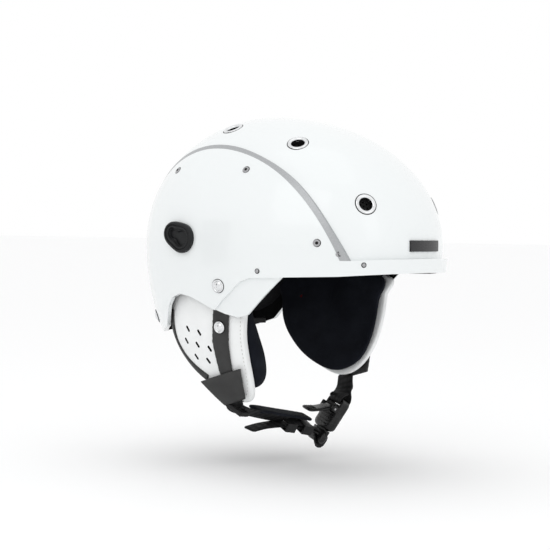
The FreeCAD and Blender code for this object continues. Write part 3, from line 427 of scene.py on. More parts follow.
def squarish(count, wide_power, tall_power):
    """Points of a unit circle pressed out towards a square; a lower power is squarer."""
    shape = []
    for number in range(count):
        turn = 2 * math.pi * number / count
        a, b = math.cos(turn), math.sin(turn)
        shape.append((math.copysign(abs(a) ** wide_power, a), math.copysign(abs(b) ** tall_power, b)))
    return shape


def settle(thing):
    """Applies an object's modifiers."""
    bpy.context.view_layer.update()
    graph = bpy.context.evaluated_depsgraph_get()
    mesh = bpy.data.meshes.new_from_object(thing.evaluated_get(graph))
    thing.modifiers.clear()
    thing.data = mesh
    return thing


def copy_of(nodes, name):
    """One new object with the solids of several CAD nodes."""
    work = bmesh.new()
    for node in nodes:
        work.from_mesh(NODES[node].data)
    bmesh.ops.remove_doubles(work, verts=work.verts, dist=1e-6)
    return from_bmesh(name, work)


def modify(thing, kind, **settings):
    """Applies one modifier."""
    modifier = thing.modifiers.new(kind.lower(), kind)
    for name, value in settings.items():
        setattr(modifier, name, value)
    return settle(thing)


def remesh(thing, voxel):
    modify(thing, "REMESH", mode="VOXEL", voxel_size=voxel)


def relax(thing, rounds):
    return modify(thing, "SMOOTH", factor=0.5, iterations=rounds)


def subdivide(thing):
    return modify(thing, "SUBSURF", levels=1, render_levels=1)


def smooth_shade(thing):
    for face in thing.data.polygons:
        face.use_smooth = True


def dress(thing, slot, body, *replaced, look=None):
    """Material, smooth shading and body of a new piece, with the CAD nodes that it replaces hidden. look names a
    material not of its slot.
    """
    if not thing.data.materials:
        thing.data.materials.append(MATERIALS[look or slot])
    smooth_shade(thing)
    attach(thing, body)
    if replaced:
        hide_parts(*replaced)


def soften(rows):
    """CAD solids with their edges rounded as leather, rubber or moulded plastic rounds them."""
    for node, voxel, rounds in rows:
        thing = copy_of([node], node + "_soft")
        remesh(thing, voxel * MM)
        relax(thing, rounds)
        if node == "strap_slider":
            thing.data.transform(Matrix.Translation(SLIDER_RISE))
        dress(thing, SLOTS[node], BODY_OF[node], node)


# ---- padded pieces by cloth simulation
CLOTH_FRAMES = 20
CLOTH = {
    "quality": 6,
    "mass": 0.25,
    "tension_stiffness": 12,
    "compression_stiffness": 12,
    "shear_stiffness": 6,
    "bending_stiffness": 0.6,
    "use_pressure": True,
    "uniform_pressure_force": 4.0,
    "vertex_group_mass": "pin",
}


def swell(things, caps, pins):
    """Inflates closed meshes as cloth and limits how far each point moves. Pinned points stay."""
    starts = [[v.co.copy() for v in thing.data.vertices] for thing in things]
    scene = bpy.context.scene
    scene.frame_start, scene.frame_end = 1, CLOTH_FRAMES
    for thing, pin in zip(things, pins):
        group = thing.vertex_groups.new(name="pin")
        for index, weight in pin.items():
            group.add([index], weight, "REPLACE")
        cloth = thing.modifiers.new("cloth", "CLOTH")
        cloth.point_cache.frame_start, cloth.point_cache.frame_end = 1, CLOTH_FRAMES
        for setting, value in CLOTH.items():
            setattr(cloth.settings, setting, value)
        cloth.settings.effector_weights.gravity = 0
        cloth.collision_settings.use_collision = False
        cloth.collision_settings.use_self_collision = False
    for number in range(1, CLOTH_FRAMES + 1):
        scene.frame_set(number)
    for thing, start, cap in zip(things, starts, caps):
        settle(thing)
        for vertex, old in zip(thing.data.vertices, start):
            step = vertex.co - old
            if step.length > cap:
                vertex.co = old + step.normalized() * cap
    scene.frame_set(1)


def inward(thing, amount):
    """Pulls every point in along its normal."""
    thing.data.update()
    normals = [v.normal.copy() for v in thing.data.vertices]
    for vertex, normal in zip(thing.data.vertices, normals):
        vertex.co -= normal * amount


def near_lines(thing, lines, reach, axes):
    """Pin weights of the points near sewn lines, as seen on two axes."""
    pins = {}
    for vertex in thing.data.vertices:
        spot = Vector([vertex.co[axis] for axis in axes])
        for start, end in lines:
            run = end - start
            t = max(0, min(1, (spot - start).dot(run) / run.length_squared))
            if (spot - (start + run * t)).length < reach:
                pins[vertex.index] = 1.0
    return pins


# ---- smooth lines and surfaces
def smooth_line(points, spacing, closed=False):
    """Points of a Catmull-Rom curve through given points, evenly spaced."""
    points = [Vector(p) for p in points]
    count = len(points)

    def at(index):
        return points[index % count if closed else max(0, min(count - 1, index))]

    fine = []
    for index in range(count if closed else count - 1):
        a, b, c, d = (at(index + k) for k in (-1, 0, 1, 2))
        for step in range(24):
            t = step / 24
            fine.append(0.5 * (2 * b + (c - a) * t + (2 * a - 5 * b + 4 * c - d) * t ** 2
                               + (3 * b - a - 3 * c + d) * t ** 3))
    fine.append(at(count).copy())
    lengths = [0.0]
    for first, second in zip(fine, fine[1:]):
        lengths.append(lengths[-1] + (second - first).length)
    pieces = max(3, round(lengths[-1] / spacing))
    even = []
    place = 0
    for number in range(pieces if closed else pieces + 1):
        goal = lengths[-1] * number / pieces
        while place < len(fine) - 2 and lengths[place + 1] < goal:
            place += 1
        share = (goal - lengths[place]) / max(lengths[place + 1] - lengths[place], 1e-9)
        even.append(fine[place].lerp(fine[place + 1], share))
    return even


def cubic_terms(y, z):
    y, z = y / 0.1, (z + 0.09) / 0.1
    return np.stack([y ** 0, y, z, y * y, y * z, z * z, y ** 3, y * y * z, y * z * z, z ** 3], -1)


def side_surface(node, side):
    """X of a CAD node's outer face as a smooth function of the place in side view."""
    centres = [f.center[:] for f in NODES[node].data.polygons if f.normal.x * side > 0.5]
    x, y, z = np.array(centres).T
    factors = np.linalg.lstsq(cubic_terms(y, z), x, rcond=None)[0]
    return lambda at: float(cubic_terms(np.float64(at[0]), np.float64(at[1])) @ factors)


# ---- ear pads
# outlines in side view (along, height), in millimetres, from the rear top round the tip to the front top
LEATHER_EDGE = {
    "right": [(58, -28), (61, -62), (59, -80), (51, -96), (38, -111), (23, -123.5), (6, -135.5), (-8, -142),
              (-20, -143), (-27.5, -137), (-30.5, -123), (-30.5, -105), (-30, -84), (-32, -65), (-36, -34)],
    "left": [(45, -26), (47, -60), (41, -82), (27, -99), (8, -112), (-13, -121.5), (-33, -126), (-49, -122),
             (-60.5, -110), (-67.5, -92.5), (-70.5, -70), (-70.5, -50), (-69, -30)],
}
LINING_EDGE = {
    "right": [(45, -30), (49, -62), (46, -80), (36, -98), (20, -113), (3, -125), (-12, -131), (-25, -129),
              (-34, -118), (-35.5, -100), (-31, -80), (-26, -60), (-26, -30)],
    "left": [(42, -28), (44, -60), (38, -81), (23, -99), (4, -112), (-20, -120.5), (-39, -120.5),
             (-54, -113), (-62, -102), (-66.5, -80), (-67, -55), (-65, -30)],
}
# depth of each pad's middle below the CAD pad's outer face, and half its thickness
LEATHER_DEPTH = 5.6 * MM
LEATHER_HALF = 5.2 * MM
LINING_DEPTH = {"right": 20.0 * MM, "left": 14.5 * MM}
LINING_HALF = {"right": 11.5 * MM, "left": 6.0 * MM}
# centre lines in side view of the narrow strap round the rear edge
REAR_STRAP = {
    "right": [(54.5, -62), (55.5, -78), (52, -92), (42.5, -104.5), (29, -115), (15, -123)],
    "left": [(33, -62), (28.5, -78), (17.5, -92), (2, -106.5), (-12, -116)],
}
REAR_STRAP_WIDE = 7.5 * MM
SEAM_RING = 0.93
RINGS = [0.06, 0.14, 0.22, 0.3, 0.38, 0.46, 0.54, 0.61, 0.68, 0.74, 0.8, 0.85, 0.89, SEAM_RING,
         0.96, 0.98, 0.993]
SLOT_CENTRE = {"right": (21, -92.4), "left": (-16, -84)}
SLOT_ROW = (14.2, 2.7)
SLOT_STEP = (-3.6, 11.2)
SLOT_SIZE = (6.4 * MM, 2.5 * MM)
SLOT_SLANT = math.radians(56)
SLOT_REACH = (1.5 * MM, -4.0 * MM)
SLOT_SIDES = 24
CORD_SIDES = 10
THREAD_SIDES = 6
STITCH = 2.4 * MM
STITCH_GAP = 1.2 * MM
THREAD = 0.32 * MM
SHARP = math.radians(45)


def pillow(name, outline, surface, side, depth, half, corner=5.0):
    """Closed padded form over a smooth outline: an outer face, a rounded edge and an inner face."""
    edge = smooth_line([(y * MM, z * MM, 0) for y, z in outline], 3.2 * MM, closed=True)
    centre = sum(edge, Vector()) / len(edge)
    rows = [(r, -1) for r in RINGS] + [(1.0, 0)] + [(r, 1) for r in reversed(RINGS)]
    work = bmesh.new()

    def place(r, face, rim):
        spot = centre.lerp(rim, r)
        bulge = half * (1 - r ** corner) ** (1 / corner) * face
        return work.verts.new((surface(spot) - side * (depth + bulge), spot.x, spot.y))

    first = place(0, -1, centre)
    rings = [[place(r, face, rim) for rim in edge] for r, face in rows]
    last = place(0, 1, centre)
    count = len(edge)
    for index in range(count):
        after = (index + 1) % count
        work.faces.new((first, rings[0][index], rings[0][after]))
        work.faces.new((last, rings[-1][after], rings[-1][index]))
        for near, far in zip(rings, rings[1:]):
            work.faces.new((near[index], far[index], far[after], near[after]))
    thing = closed_mesh(name, work)
    seam = RINGS.index(SEAM_RING)
    pins = {1 + seam * count + k: 1.0 for k in range(count)}
    pins.update({1 + (len(rows) - 1 - seam) * count + k: 1.0 for k in range(count)})
    return thing, pins, edge, centre


def pressed_by(thing, pins, nodes, reach):
    """Pins the points that lie under straps, so that the padding swells only beside them."""
    press = copy_of(nodes, "press")
    tree = tree_of(press)
    for vertex in thing.data.vertices:
        if tree.find_nearest(vertex.co, reach)[0] is not None:
            pins[vertex.index] = 1.0
    bpy.data.objects.remove(press)


def ear_pad_forms(name, side):
    surface = side_surface(f"ear_skin_{name}", side)
    leather_pad = pillow(f"ear_leather_{name}", LEATHER_EDGE[name], surface, side,
                         LEATHER_DEPTH, LEATHER_HALF)
    lining = pillow(f"ear_fleece_{name}", LINING_EDGE[name], surface, side,
                    LINING_DEPTH[name], LINING_HALF[name], 3.0)
    straps = [f"ear_strap_front_{name}", f"ear_strap_rear_{name}", f"strap_sleeve_{name}"]
    pressed_by(leather_pad[0], leather_pad[1], straps, 1.6 * MM)
    return surface, leather_pad, lining


def slot_cutter(name, side, tree):
    """Seven slanted capsules that stand across the leather."""
    work = bmesh.new()
    length, width = SLOT_SIZE
    row, step = Vector(SLOT_ROW), Vector(SLOT_STEP)
    places = [-row, Vector((0, 0)), row, step, step + row, -step, -step - row]
    tilt = Vector((0, math.cos(SLOT_SLANT), math.sin(SLOT_SLANT)))
    for place in places:
        spot = (Vector(SLOT_CENTRE[name]) + place) * MM
        hit, normal = on_outside(tree, side, spot.x, spot.y)
        along = (tilt - normal * tilt.dot(normal)).normalized()
        across = normal.cross(along)
        loops = []
        for lift in SLOT_REACH:
            loop = []
            for number in range(SLOT_SIDES):
                turn = 2 * math.pi * number / SLOT_SIDES
                shift = math.copysign((length - width) / 2, math.cos(turn))
                flat = along * (shift + width / 2 * math.cos(turn)) + across * (width / 2 * math.sin(turn))
                loop.append(work.verts.new(hit + flat + normal * lift))
            loops.append(loop)
        close_ends(work, loops[::-1])
        bridge(work, loops[::-1])
    cutter = closed_mesh("slot_cutter", work)
    # the slots' cut walls and floors take this near-black material: the dark core, darkened further as painted
    # shade
    cutter.data.materials.append(MATERIALS["slot_dark"])
    return cutter


def on_outside(tree, side, y, z):
    """Point and normal where a line from outside first meets a pad, at a place in side view."""
    hit, normal, _, _ = tree.ray_cast(Vector((side * 0.3, y, z)), Vector((-side, 0, 0)))
    return hit, normal


def tree_of(thing):
    bpy.context.view_layer.update()
    return BVHTree.FromObject(thing, bpy.context.evaluated_depsgraph_get())


def cut_slots(thing, name, side):
    cutter = slot_cutter(name, side, tree_of(thing))
    modify(thing, "BOOLEAN", operation="DIFFERENCE", object=cutter, solver="EXACT", material_mode="TRANSFER")
    bpy.data.objects.remove(cutter)


def tube(name, points, radius):
    """Round cord through points, with rounded ends."""
    work = bmesh.new()
    loops = []
    flat = run_at(points, 0).orthogonal().normalized()
    for index, point in enumerate(points):
        run = run_at(points, index)
        flat = (flat - run * flat.dot(run)).normalized()
        other = run.cross(flat)
        size = radius * (0.45 if index in (0, len(points) - 1) else 1.0)
        loops.append(circle(work, point, flat, other, size, CORD_SIDES))
    bridge(work, loops)
    close_ends(work, loops)
    return closed_mesh(name, work)


def stitches(name, seam):
    """A row of separate thread stitches that dip into a surface. seam is a list of (point, normal)."""
    work = bmesh.new()
    travelled = 0.0
    stitch = []
    for (spot, normal), (after, _) in zip(seam, seam[1:]):
        phase = travelled % (STITCH + STITCH_GAP)
        if phase < STITCH:
            arch = math.sin(math.pi * phase / STITCH)
            stitch.append((spot + normal * THREAD * (1.3 * arch - 0.5), normal, after - spot))
        else:
            if len(stitch) > 1:
                add_stitch(work, stitch)
            stitch = []
        travelled += (after - spot).length
    return from_bmesh(name, work)


def add_stitch(work, stitch):
    rings = []
    for index, (spot, normal, run) in enumerate(stitch):
        flat = run.normalized().cross(normal).normalized()
        size = THREAD * (0.5 if index in (0, len(stitch) - 1) else 1.0)
        rings.append(circle(work, spot, flat, normal, size, THREAD_SIDES))
    bridge(work, rings)
    close_ends(work, rings)


def rear_strap(name, side, tree, surface):
    """Narrow leather strap that hugs the pad's rear edge."""
    line = smooth_line([(y * MM, z * MM, 0) for y, z in REAR_STRAP[name]], 1.2 * MM)
    work = bmesh.new()
    steps = [k / 5 - 1 for k in range(11)]
    rings = []
    for index, spot in enumerate(line):
        run = run_at(line, index)
        across = Vector((-run.y, run.x, 0))
        over, under = [], []
        for step in steps:
            at = spot + across * (step * REAR_STRAP_WIDE / 2)
            hit, _ = on_outside(tree, side, at.x, at.y)
            x = hit.x if hit is not None else surface(at) - side * LEATHER_DEPTH
            lift = 1.5 * MM * (1 - abs(step) ** 5 * 0.6)
            over.append(work.verts.new((x + side * lift, at.x, at.y)))
            under.append(work.verts.new((x - side * 0.6 * MM, at.x, at.y)))
        rings.append(over + under[::-1])
    bridge(work, rings)
    close_ends(work, rings)
    strap = relax(closed_mesh(f"rear_strap_{name}", work), 2)
    node = f"ear_strap_rear_{name}"
    dress(strap, SLOTS[node], f"ear_pad_{name}", node)


def finish_ear_pad(name, side, surface, leather_pad, lining):
    body = f"ear_pad_{name}"
    skin, _, edge, centre = leather_pad
    fleece = lining[0]
    subdivide(skin)
    subdivide(fleece)
    skin.data.materials.append(MATERIALS["white_leather"])
    tree = tree_of(skin)
    seam = [centre.lerp(rim, SEAM_RING) for rim in edge + edge[:1]]
    fine = []
    for spot in smooth_line(seam, 0.5 * MM):
        hit, normal = on_outside(tree, side, spot.x, spot.y)
        if hit is not None:
            fine.append((hit, normal))
    rear_strap(name, side, tree, surface)
    cut_slots(skin, name, side)
    dress(skin, "white_leather", body, f"ear_skin_{name}", f"ear_core_{name}")
    skin.data.set_sharp_from_angle(angle=SHARP)
    dress(fleece, "pad_lining", body, f"ear_lining_{name}")
    dress(stitches(f"ear_stitches_{name}", fine), "white_leather", body, look="white_thread")


# ---- straps
WEBBING_WIDE = 17.6 * MM
WEBBING_THICK = 1.7 * MM
WEBBING_SIDES = 20


def webbing(name, points, across, width=WEBBING_WIDE, thick=WEBBING_THICK):
    """Woven strap along a smooth line, with rounded, slightly thicker selvedges and a map for the weave."""
    line = smooth_line(points, 1.5 * MM)
    section = [
        (wide * width / 2, tall * (0.86 + 0.14 * abs(wide) ** 8) * thick / 2)
        for wide, tall in squarish(WEBBING_SIDES, 0.35, 0.6)
    ]
    work = bmesh.new()
    layer = work.loops.layers.uv.new("weave")
    loops = []
    travelled = 0.0
    for index, point in enumerate(line):
        run = run_at(line, index)
        want = across(index / (len(line) - 1), run)
        wide = (want - run * want.dot(run)).normalized()
        face = run.cross(wide)
        shrink = 0.8 if index in (0, len(line) - 1) else 1.0
        loops.append((travelled, [
            work.verts.new(point + wide * (a * shrink) + face * (b * shrink)) for a, b in section
        ]))
        if index < len(line) - 1:
            travelled += (line[index + 1] - point).length
    for (near_at, near), (far_at, far) in zip(loops, loops[1:]):
        for k in range(WEBBING_SIDES):
            j = (k + 1) % WEBBING_SIDES
            quad = work.faces.new((near[k], near[j], far[j], far[k]))
            for loop, at, column in zip(quad.loops, (near_at, near_at, far_at, far_at), (k, j, j, k)):
                loop[layer].uv = (at, section[column][0])
    close_ends(work, [loop for _, loop in loops])
    return closed_mesh(name, work)


def tilted(degrees):
    """Across direction of a strap whose edge dips by an angle, as along the chin."""
    lean = math.radians(degrees)

    up = Vector((0, 0, 1))

    def across(_, run):
        return up.cross(run).normalized() * math.cos(lean) + up * math.sin(lean)

    return across


# ---- chin strap
# centre lines of the webbing, in millimetres, from the wearer's right to the left, as the strap hangs
MAIN_RUN = [(-60, -9.6, -152.0), (-46, -11, -155.0), (-20, -15, -161.0), (5, -21, -166.2),
            (20, -25, -169.5)]
TAIL_RUN = [(-46, -6, -170.5), (-37, -9, -168.8), (-28, -12, -167.8), (-12, -16.5, -167.6),
            (5, -21, -170.0), (20, -25, -173.3)]
CHIN_PAD_RUN = [(-45, -11, -151.2), (-34, -12.5, -152.6), (-20, -15, -155.4), (5, -21, -160.2),
                (21, -25.5, -163.4)]
LEFT_RUN = [(76, -32, -125), (67.5, -36.4, -136), (59.6, -40.2, -142.3)]
SLEEVE_MOUTH = (-76, -9, -138)
# places along the webbing between the helmet's body and a moving one
REAR_SPLIT = (-6, -18, -164.2)
FRONT_SPLIT = (14, -23.4, -168.2)
# the webbing's turns round the tongue's bar and the housing's bar: (outward, along the pull)
TONGUE_TURN = [(8.3, 3.0), (3.2, 0.9), (-2.0, 0.3), (-3.0, -2.9), (0.0, -5.6), (3.4, -4.6), (9.5, -1.6)]
HOUSING_TURN = [(5.6, 40.6), (5.5, 37.4), (3.2, 35.3), (-3.2, 35.3), (-5.5, 37.4), (-5.4, 40.6)]
SLIDER_RISE = Vector((0.5, -0.5, 7.5)) * MM
DIP = 20
TAIL_DIP = 9
BUCKLE_PULL = -Vector(JOINTS["tongue_draw"]["axis"]).normalized()
BUCKLE_ACROSS = Vector(JOINTS["release_lever_lift"]["axis"]).normalized()
BUCKLE_OUT = BUCKLE_PULL.cross(BUCKLE_ACROSS)
PIN_ABOVE_BAR = 28 * MM
PIN_OUT = 7.2 * MM
LEVER_PIN = Vector(JOINTS["release_lever_lift"]["pos_m"])
BAR = LEVER_PIN - BUCKLE_PULL * PIN_ABOVE_BAR - BUCKLE_OUT * PIN_OUT


def metres(points):
    return [Vector(point) * MM for point in points]


def at_buckle(out, pull):
    """Point in the middle of the buckle, from millimetres outward and along its pull."""
    return BAR + (BUCKLE_OUT * out + BUCKLE_PULL * pull) * MM


def along_buckle(_share, _run):
    return BUCKLE_ACROSS


def turning(first, last):
    """Across direction that turns from one rule to another along a strap."""
    def across(share, run):
        t = share * share * (3 - 2 * share)
        return first(share, run).normalized().lerp(last(share, run).normalized(), t)

    return across


def blended(piece, first, second, start, end, *replaced):
    """Finishes webbing: its material and smooth shading, with the CAD nodes that it replaces hidden. first,
    second, start and end are not used.
    """
    piece.data.materials.append(MATERIALS["webbing"])
    smooth_shade(piece)
    if replaced:
        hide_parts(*replaced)
    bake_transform(piece)


def chin_webbing():
    """The chin webbing as one woven line: slider, main run, loop on the tongue's bar, and the free tail."""
    flat = tilted(DIP)
    main, tail = metres(MAIN_RUN), metres(TAIL_RUN)
    mouth, rear_split, front_split = metres((SLEEVE_MOUTH, REAR_SPLIT, FRONT_SPLIT))
    slider = sum(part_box("strap_slider"), Vector()) / 2 + SLIDER_RISE

    over_slider = slider + Vector((-0.5, 0, 1.0)) * MM
    start = main[3].lerp(main[2], 0.45)
    fold = [start, main[2], main[1], main[0], over_slider, mouth.lerp(slider, 0.4), mouth]
    piece = webbing("webbing_to_sleeve", fold, flat)
    blended(piece, "helmet", "ear_pad_right", rear_split, slider)

    straight = [main[2].lerp(main[3], 0.45), main[3], main[4]]
    middle = webbing("webbing_middle", straight, flat)
    dress(middle, "webbing", "helmet", "chin_webbing")
    untwist = turning(tilted(TAIL_DIP), flat)
    back = webbing("webbing_free_tail", tail, untwist, WEBBING_WIDE * 0.95)
    dress(back, "webbing", "helmet", "webbing_tail")

    turn = [at_buckle(*spot) for spot in TONGUE_TURN]
    loop = [main[3].lerp(main[4], 0.6), main[4], *turn, tail[-1], tail[-2].lerp(tail[-1], 0.4)]
    twist = turning(flat, along_buckle)
    front = webbing("webbing_round_bar", loop, twist, WEBBING_WIDE * 0.97)
    blended(front, "helmet", "tongue", front_split, at_buckle(4, 1), "tongue_webbing_loop")


def left_band():
    """Doubled webbing from the left sleeve round the housing's top bar and back."""
    mouth, bend, low = metres(LEFT_RUN)
    out = BUCKLE_OUT * MM
    turn = [at_buckle(*spot) for spot in HOUSING_TURN]
    path = [mouth + out, bend + out, low + out * 2.2, *turn, low - out * 1.6, bend - out, mouth - out]
    band = webbing("webbing_left_band", path, along_buckle)
    blended(band, "ear_pad_left", "helmet", mouth, low, "left_webbing", "housing_webbing_loop")


# stations along the pull of the housing's cover and the tongue's: (along, half width, half thickness, out)
HOUSING_COVER = [(7.0, 9.0, 3.4, 0), (8.0, 11.6, 4.8, 0), (11, 13.0, 5.6, 0), (17, 13.6, 6.0, 0),
                 (24, 13.2, 5.9, 0), (29, 12.0, 5.2, 0), (32.5, 10.8, 4.2, 0), (33.8, 9.0, 3.0, 0)]
TONGUE_COVER = [(-7.0, 8.6, 2.0, 0.4), (-6.0, 11.4, 3.4, 0.4), (-3.0, 12.6, 4.4, 0.4),
                (1.5, 12.4, 4.5, 0.4), (5.0, 10.6, 3.6, 0.2), (6.6, 8.6, 2.4, 0)]
COVERS = (
    ("buckle_cover", "helmet", HOUSING_COVER),
    ("tongue_cover", "tongue", TONGUE_COVER),
)
COVER_RIBS = (12, 15, 18, 21, 24)
# stations of the lever from its pin: (along, half width, half thickness)
LEVER_PLATE = [(2.6, 5.2, 1.0), (1.2, 7.0, 1.7), (-2, 7.7, 2.1), (-7, 7.5, 1.6), (-13, 7.2, 1.4),
               (-19, 7.4, 1.5), (-23, 7.6, 1.8), (-25.2, 7.0, 1.6), (-26.2, 5.4, 0.9)]
LEVER_REST = math.radians(48)
LEVER_CURL = 0.006
LEVER_RIBS = 4


def lofted(name, sections):
    """Closed form through rounded-rectangle sections: (centre, half across, half out)."""
    work = bmesh.new()
    shape = squarish(28, 0.5, 0.6)
    rings = [
        [work.verts.new(centre + across * wide + out * deep) for wide, deep in shape]
        for centre, across, out in sections
    ]
    bridge(work, rings)
    close_ends(work, rings)
    return subdivide(closed_mesh(name, work))


def buckle_covers():
    """Moulded cover of the housing with grip ribs, the tongue's end piece, and the lever."""
    across = BUCKLE_ACROSS * MM
    out = BUCKLE_OUT * MM
    for name, body, stations in COVERS:
        cover = lofted(name, [
            (at_buckle(shift, at), across * wide, out * deep) for at, wide, deep, shift in stations
        ])
        dress(cover, "buckle_plastic", body)
    lean_out, lean_pull = math.sin(LEVER_REST), math.cos(LEVER_REST)
    along = BUCKLE_PULL * lean_pull - BUCKLE_OUT * lean_out
    face = BUCKLE_OUT * lean_pull + BUCKLE_PULL * lean_out
    sections = []
    for at, wide, deep in LEVER_PLATE:
        curl = LEVER_CURL * at * at if at < 0 else 0.0
        sections.append((LEVER_PIN + (along * at + face * curl) * MM, across * wide, face * deep * MM))
    lever = lofted("lever_plate", sections)
    dress(lever, "buckle_plastic", "release_lever", "release_lever")
    for number in range(LEVER_RIBS):
        at = -17.5 - 2.1 * number
        middle = LEVER_PIN + (along * at + face * (LEVER_CURL * at * at + 1.6)) * MM
        line = [middle + across * k for k in (-5.4, -4, -2, 0, 2, 4, 5.4)]
        dress(tube(f"lever_rib_{number}", line, 0.55 * MM), "buckle_plastic", "release_lever")
    for number, at in enumerate(COVER_RIBS):
        for name, sign in (("out", 1), ("in", -1)):
            line = [at_buckle(sign * 5.5, at) + across * k for k in (-10, -6, 0, 6, 10)]
            dress(tube(f"cover_rib_{name}_{number}", line, 0.7 * MM), "buckle_plastic", "helmet")


# ---- mask sockets
SOCKET_SPOT = (23 * MM, 3.2 * MM)
SOCKET_SIDES = 96
# (centre, radius) of each lobe, how softly they join, and the middle that the outline is drawn from
LOBES = [((0, 0), 13.2), ((10.8, 4.2), 10.5)]
WAIST = 7.0
SOCKET_MIDDLE = (4.6, 1.6)
# (inset from the outline, height above the shell) of each ridge and step
SOCKET_STEPS = [(0.5, -2.0), (0.0, 1.0), (0.1, 2.6), (0.7, 3.7), (1.6, 4.15), (2.5, 4.0), (2.9, 3.1),
                (3.3, 3.0), (3.8, 3.7), (4.6, 3.9), (5.2, 3.5), (5.5, 2.3), (5.9, 2.2), (6.4, 2.5),
                (6.9, 1.8), (7.2, 0.5)]


def socket_inside(x, y):
    """Signed distance to the two joined lobes, negative inside."""
    first, second = (math.hypot(x - cx, y - cy) - r for (cx, cy), r in LOBES)
    mix = max(0.0, min(1.0, 0.5 + 0.5 * (second - first) / WAIST))
    return second + (first - second) * mix - WAIST * mix * (1 - mix)


def socket_rim(turn, inset):
    """Point of the outline drawn in by an amount, in a direction from the middle."""
    mx, my = SOCKET_MIDDLE
    low, high = 0.0, 32.0
    for _ in range(30):
        reach = (low + high) / 2
        if socket_inside(mx + reach * math.cos(turn), my + reach * math.sin(turn)) < -inset:
            low = reach
        else:
            high = reach
    return mx + low * math.cos(turn), my + low * math.sin(turn)


def mask_socket(name, side):
    """Two-lobed rubber-edged socket with stepped ridges down to its recess."""
    hit, normal = on_outside(tree_of(NODES["lower_shell"]), side, *SOCKET_SPOT)
    back = (Vector((0, 1, 0)) - normal * normal.y).normalized()
    up = (Vector((0, 0, 1)) - normal * normal.z - back * back.z).normalized()
    work = bmesh.new()
    rings = []
    for inset, height in SOCKET_STEPS:
        ring = []
        for number in range(SOCKET_SIDES):
            x, y = socket_rim(2 * math.pi * number / SOCKET_SIDES, inset)
            ring.append(work.verts.new(hit + (back * x + up * y + normal * height) * MM))
        rings.append(ring)
    mx, my = SOCKET_MIDDLE
    floor = work.verts.new(hit + (back * mx + up * my + normal * 0.4) * MM)
    bridge(work, rings)
    for k in range(SOCKET_SIDES):
        work.faces.new((rings[-1][k], rings[-1][(k + 1) % SOCKET_SIDES], floor))
    work.faces.new(rings[0][::-1])
    thing = closed_mesh(f"socket_{name}", work)
    dress(thing, "socket_black", "helmet", f"mask_socket_{name}")
    thing.data.set_sharp_from_angle(angle=math.radians(50))


# ---- comfort padding
# sewn channels: the axis that they are seen along and their ends on the other two, in millimetres
TEMPLE_CHANNELS = (0, [((y, -40), (y, 30)) for y in (-36, -14, 8, 30)])
CHANNELS = {
    "brow_pad": (1, [((x, -30), (x, 30)) for x in (-57, -34, -11.5, 11.5, 34, 57)]),
    "nape_pad": (1, [((x, -60), (x, 0)) for x in (-30, -10, 10, 30)]),
    "temple_pad_right": TEMPLE_CHANNELS,
    "temple_pad_left": TEMPLE_CHANNELS,
    "crown_pad": (2, [
        ((17 * math.cos(a), 17 * math.sin(a) - 22), (50 * math.cos(a), 50 * math.sin(a) - 22))
        for a in (math.radians(30 + 60 * k) for k in range(6))
    ]),
    "chin_pad": (1, [((x, -190), (x, -140)) for x in (-20.5, -7, 6.5)]),
}


def comfort_pads():
    """Every fabric pad as a remeshed cushion with its pinned channels and how far it may swell."""
    made = []
    for node, (drop, lines) in CHANNELS.items():
        if node == "chin_pad":
            thing = webbing("chin_pad_cushion", metres(CHIN_PAD_RUN), tilted(15), 19 * MM, 4.6 * MM)
            voxel, taken_in, swelling = 1.1 * MM, 0.3 * MM, 0.8 * MM
        else:
            thing = copy_of([node], node + "_cushion")
            voxel, taken_in, swelling = 2.4 * MM, 1.2 * MM, 3.0 * MM
        remesh(thing, voxel)
        relax(thing, 5)
        kept = [axis for axis in range(3) if axis != drop]
        ends = [(Vector(a) * MM, Vector(b) * MM) for a, b in lines]
        pins = near_lines(thing, ends, voxel * 0.75, kept)
        inward(thing, taken_in)
        made.append((node, thing, pins, swelling))
    return made


def finish_comfort(node, thing):
    subdivide(thing)
    relax(thing, 2)
    dress(thing, SLOTS[node], BODY_OF[node], node)


# ---- small trim
def axis_of(points):
    """Centre of a turned piece, and its axis away from the helmet's middle, from its points."""
    spots = np.array([p[:] for p in points])
    centre = Vector(spots.mean(0))
    axis = Vector(np.linalg.eigh(np.cov((spots - spots.mean(0)).T))[1][:, 0]).normalized()
    if axis.dot(centre) < 0:
        axis.negate()
    return centre, axis


def lathe(name, centre, axis, profile, sides=64):
    """Closed ring of revolution; profile is (radius, height) pairs in millimetres."""
    flat = axis.orthogonal().normalized()
    other = axis.cross(flat)
    work = bmesh.new()
    rings = []
    for number in range(sides):
        turn = 2 * math.pi * number / sides
        spoke = flat * math.cos(turn) + other * math.sin(turn)
        rings.append([work.verts.new(centre + (spoke * r + axis * h) * MM) for r, h in profile])
    bridge(work, rings + rings[:1])
    return closed_mesh(name, work)


def bead(radius, height, wide, tall, steps):
    """Round cross-section of a ring."""
    turns = [2 * math.pi * k / steps for k in range(steps)]
    return [(radius + wide * math.cos(a), height + tall * math.sin(a)) for a in turns]


VENT_RING = [(5.9, -5), (6.9, -5), (6.9, -1.4), (9.0, -1.3), (9.25, -0.8), (9.2, -0.35), (8.9, 0.05),
             (8.3, 0.3), (7.6, 0.35), (6.9, 0.2), (6.3, -0.15), (5.95, -0.7)]
SNAP_CAP = [(0.03, 2.3), (1.2, 2.25), (2.4, 2.0), (3.4, 1.5), (4.0, 0.9), (4.3, 0.55), (4.6, 0.75),
            (5.0, 1.15), (5.4, 1.15), (5.75, 0.75), (5.9, 0.3), (5.8, -0.3), (0.03, -0.3)]
# (node, radius of the black ring of painted shade at the seat, height of the head), in millimetres
FASTENERS = (("panel_screws", 3.15, 0.9), ("brim_rivets", 1.95, 0.8))
TAG_SPOT = (78, 26, -50)
TAG_LONG = 9
TAG_HALF_WIDE = 6


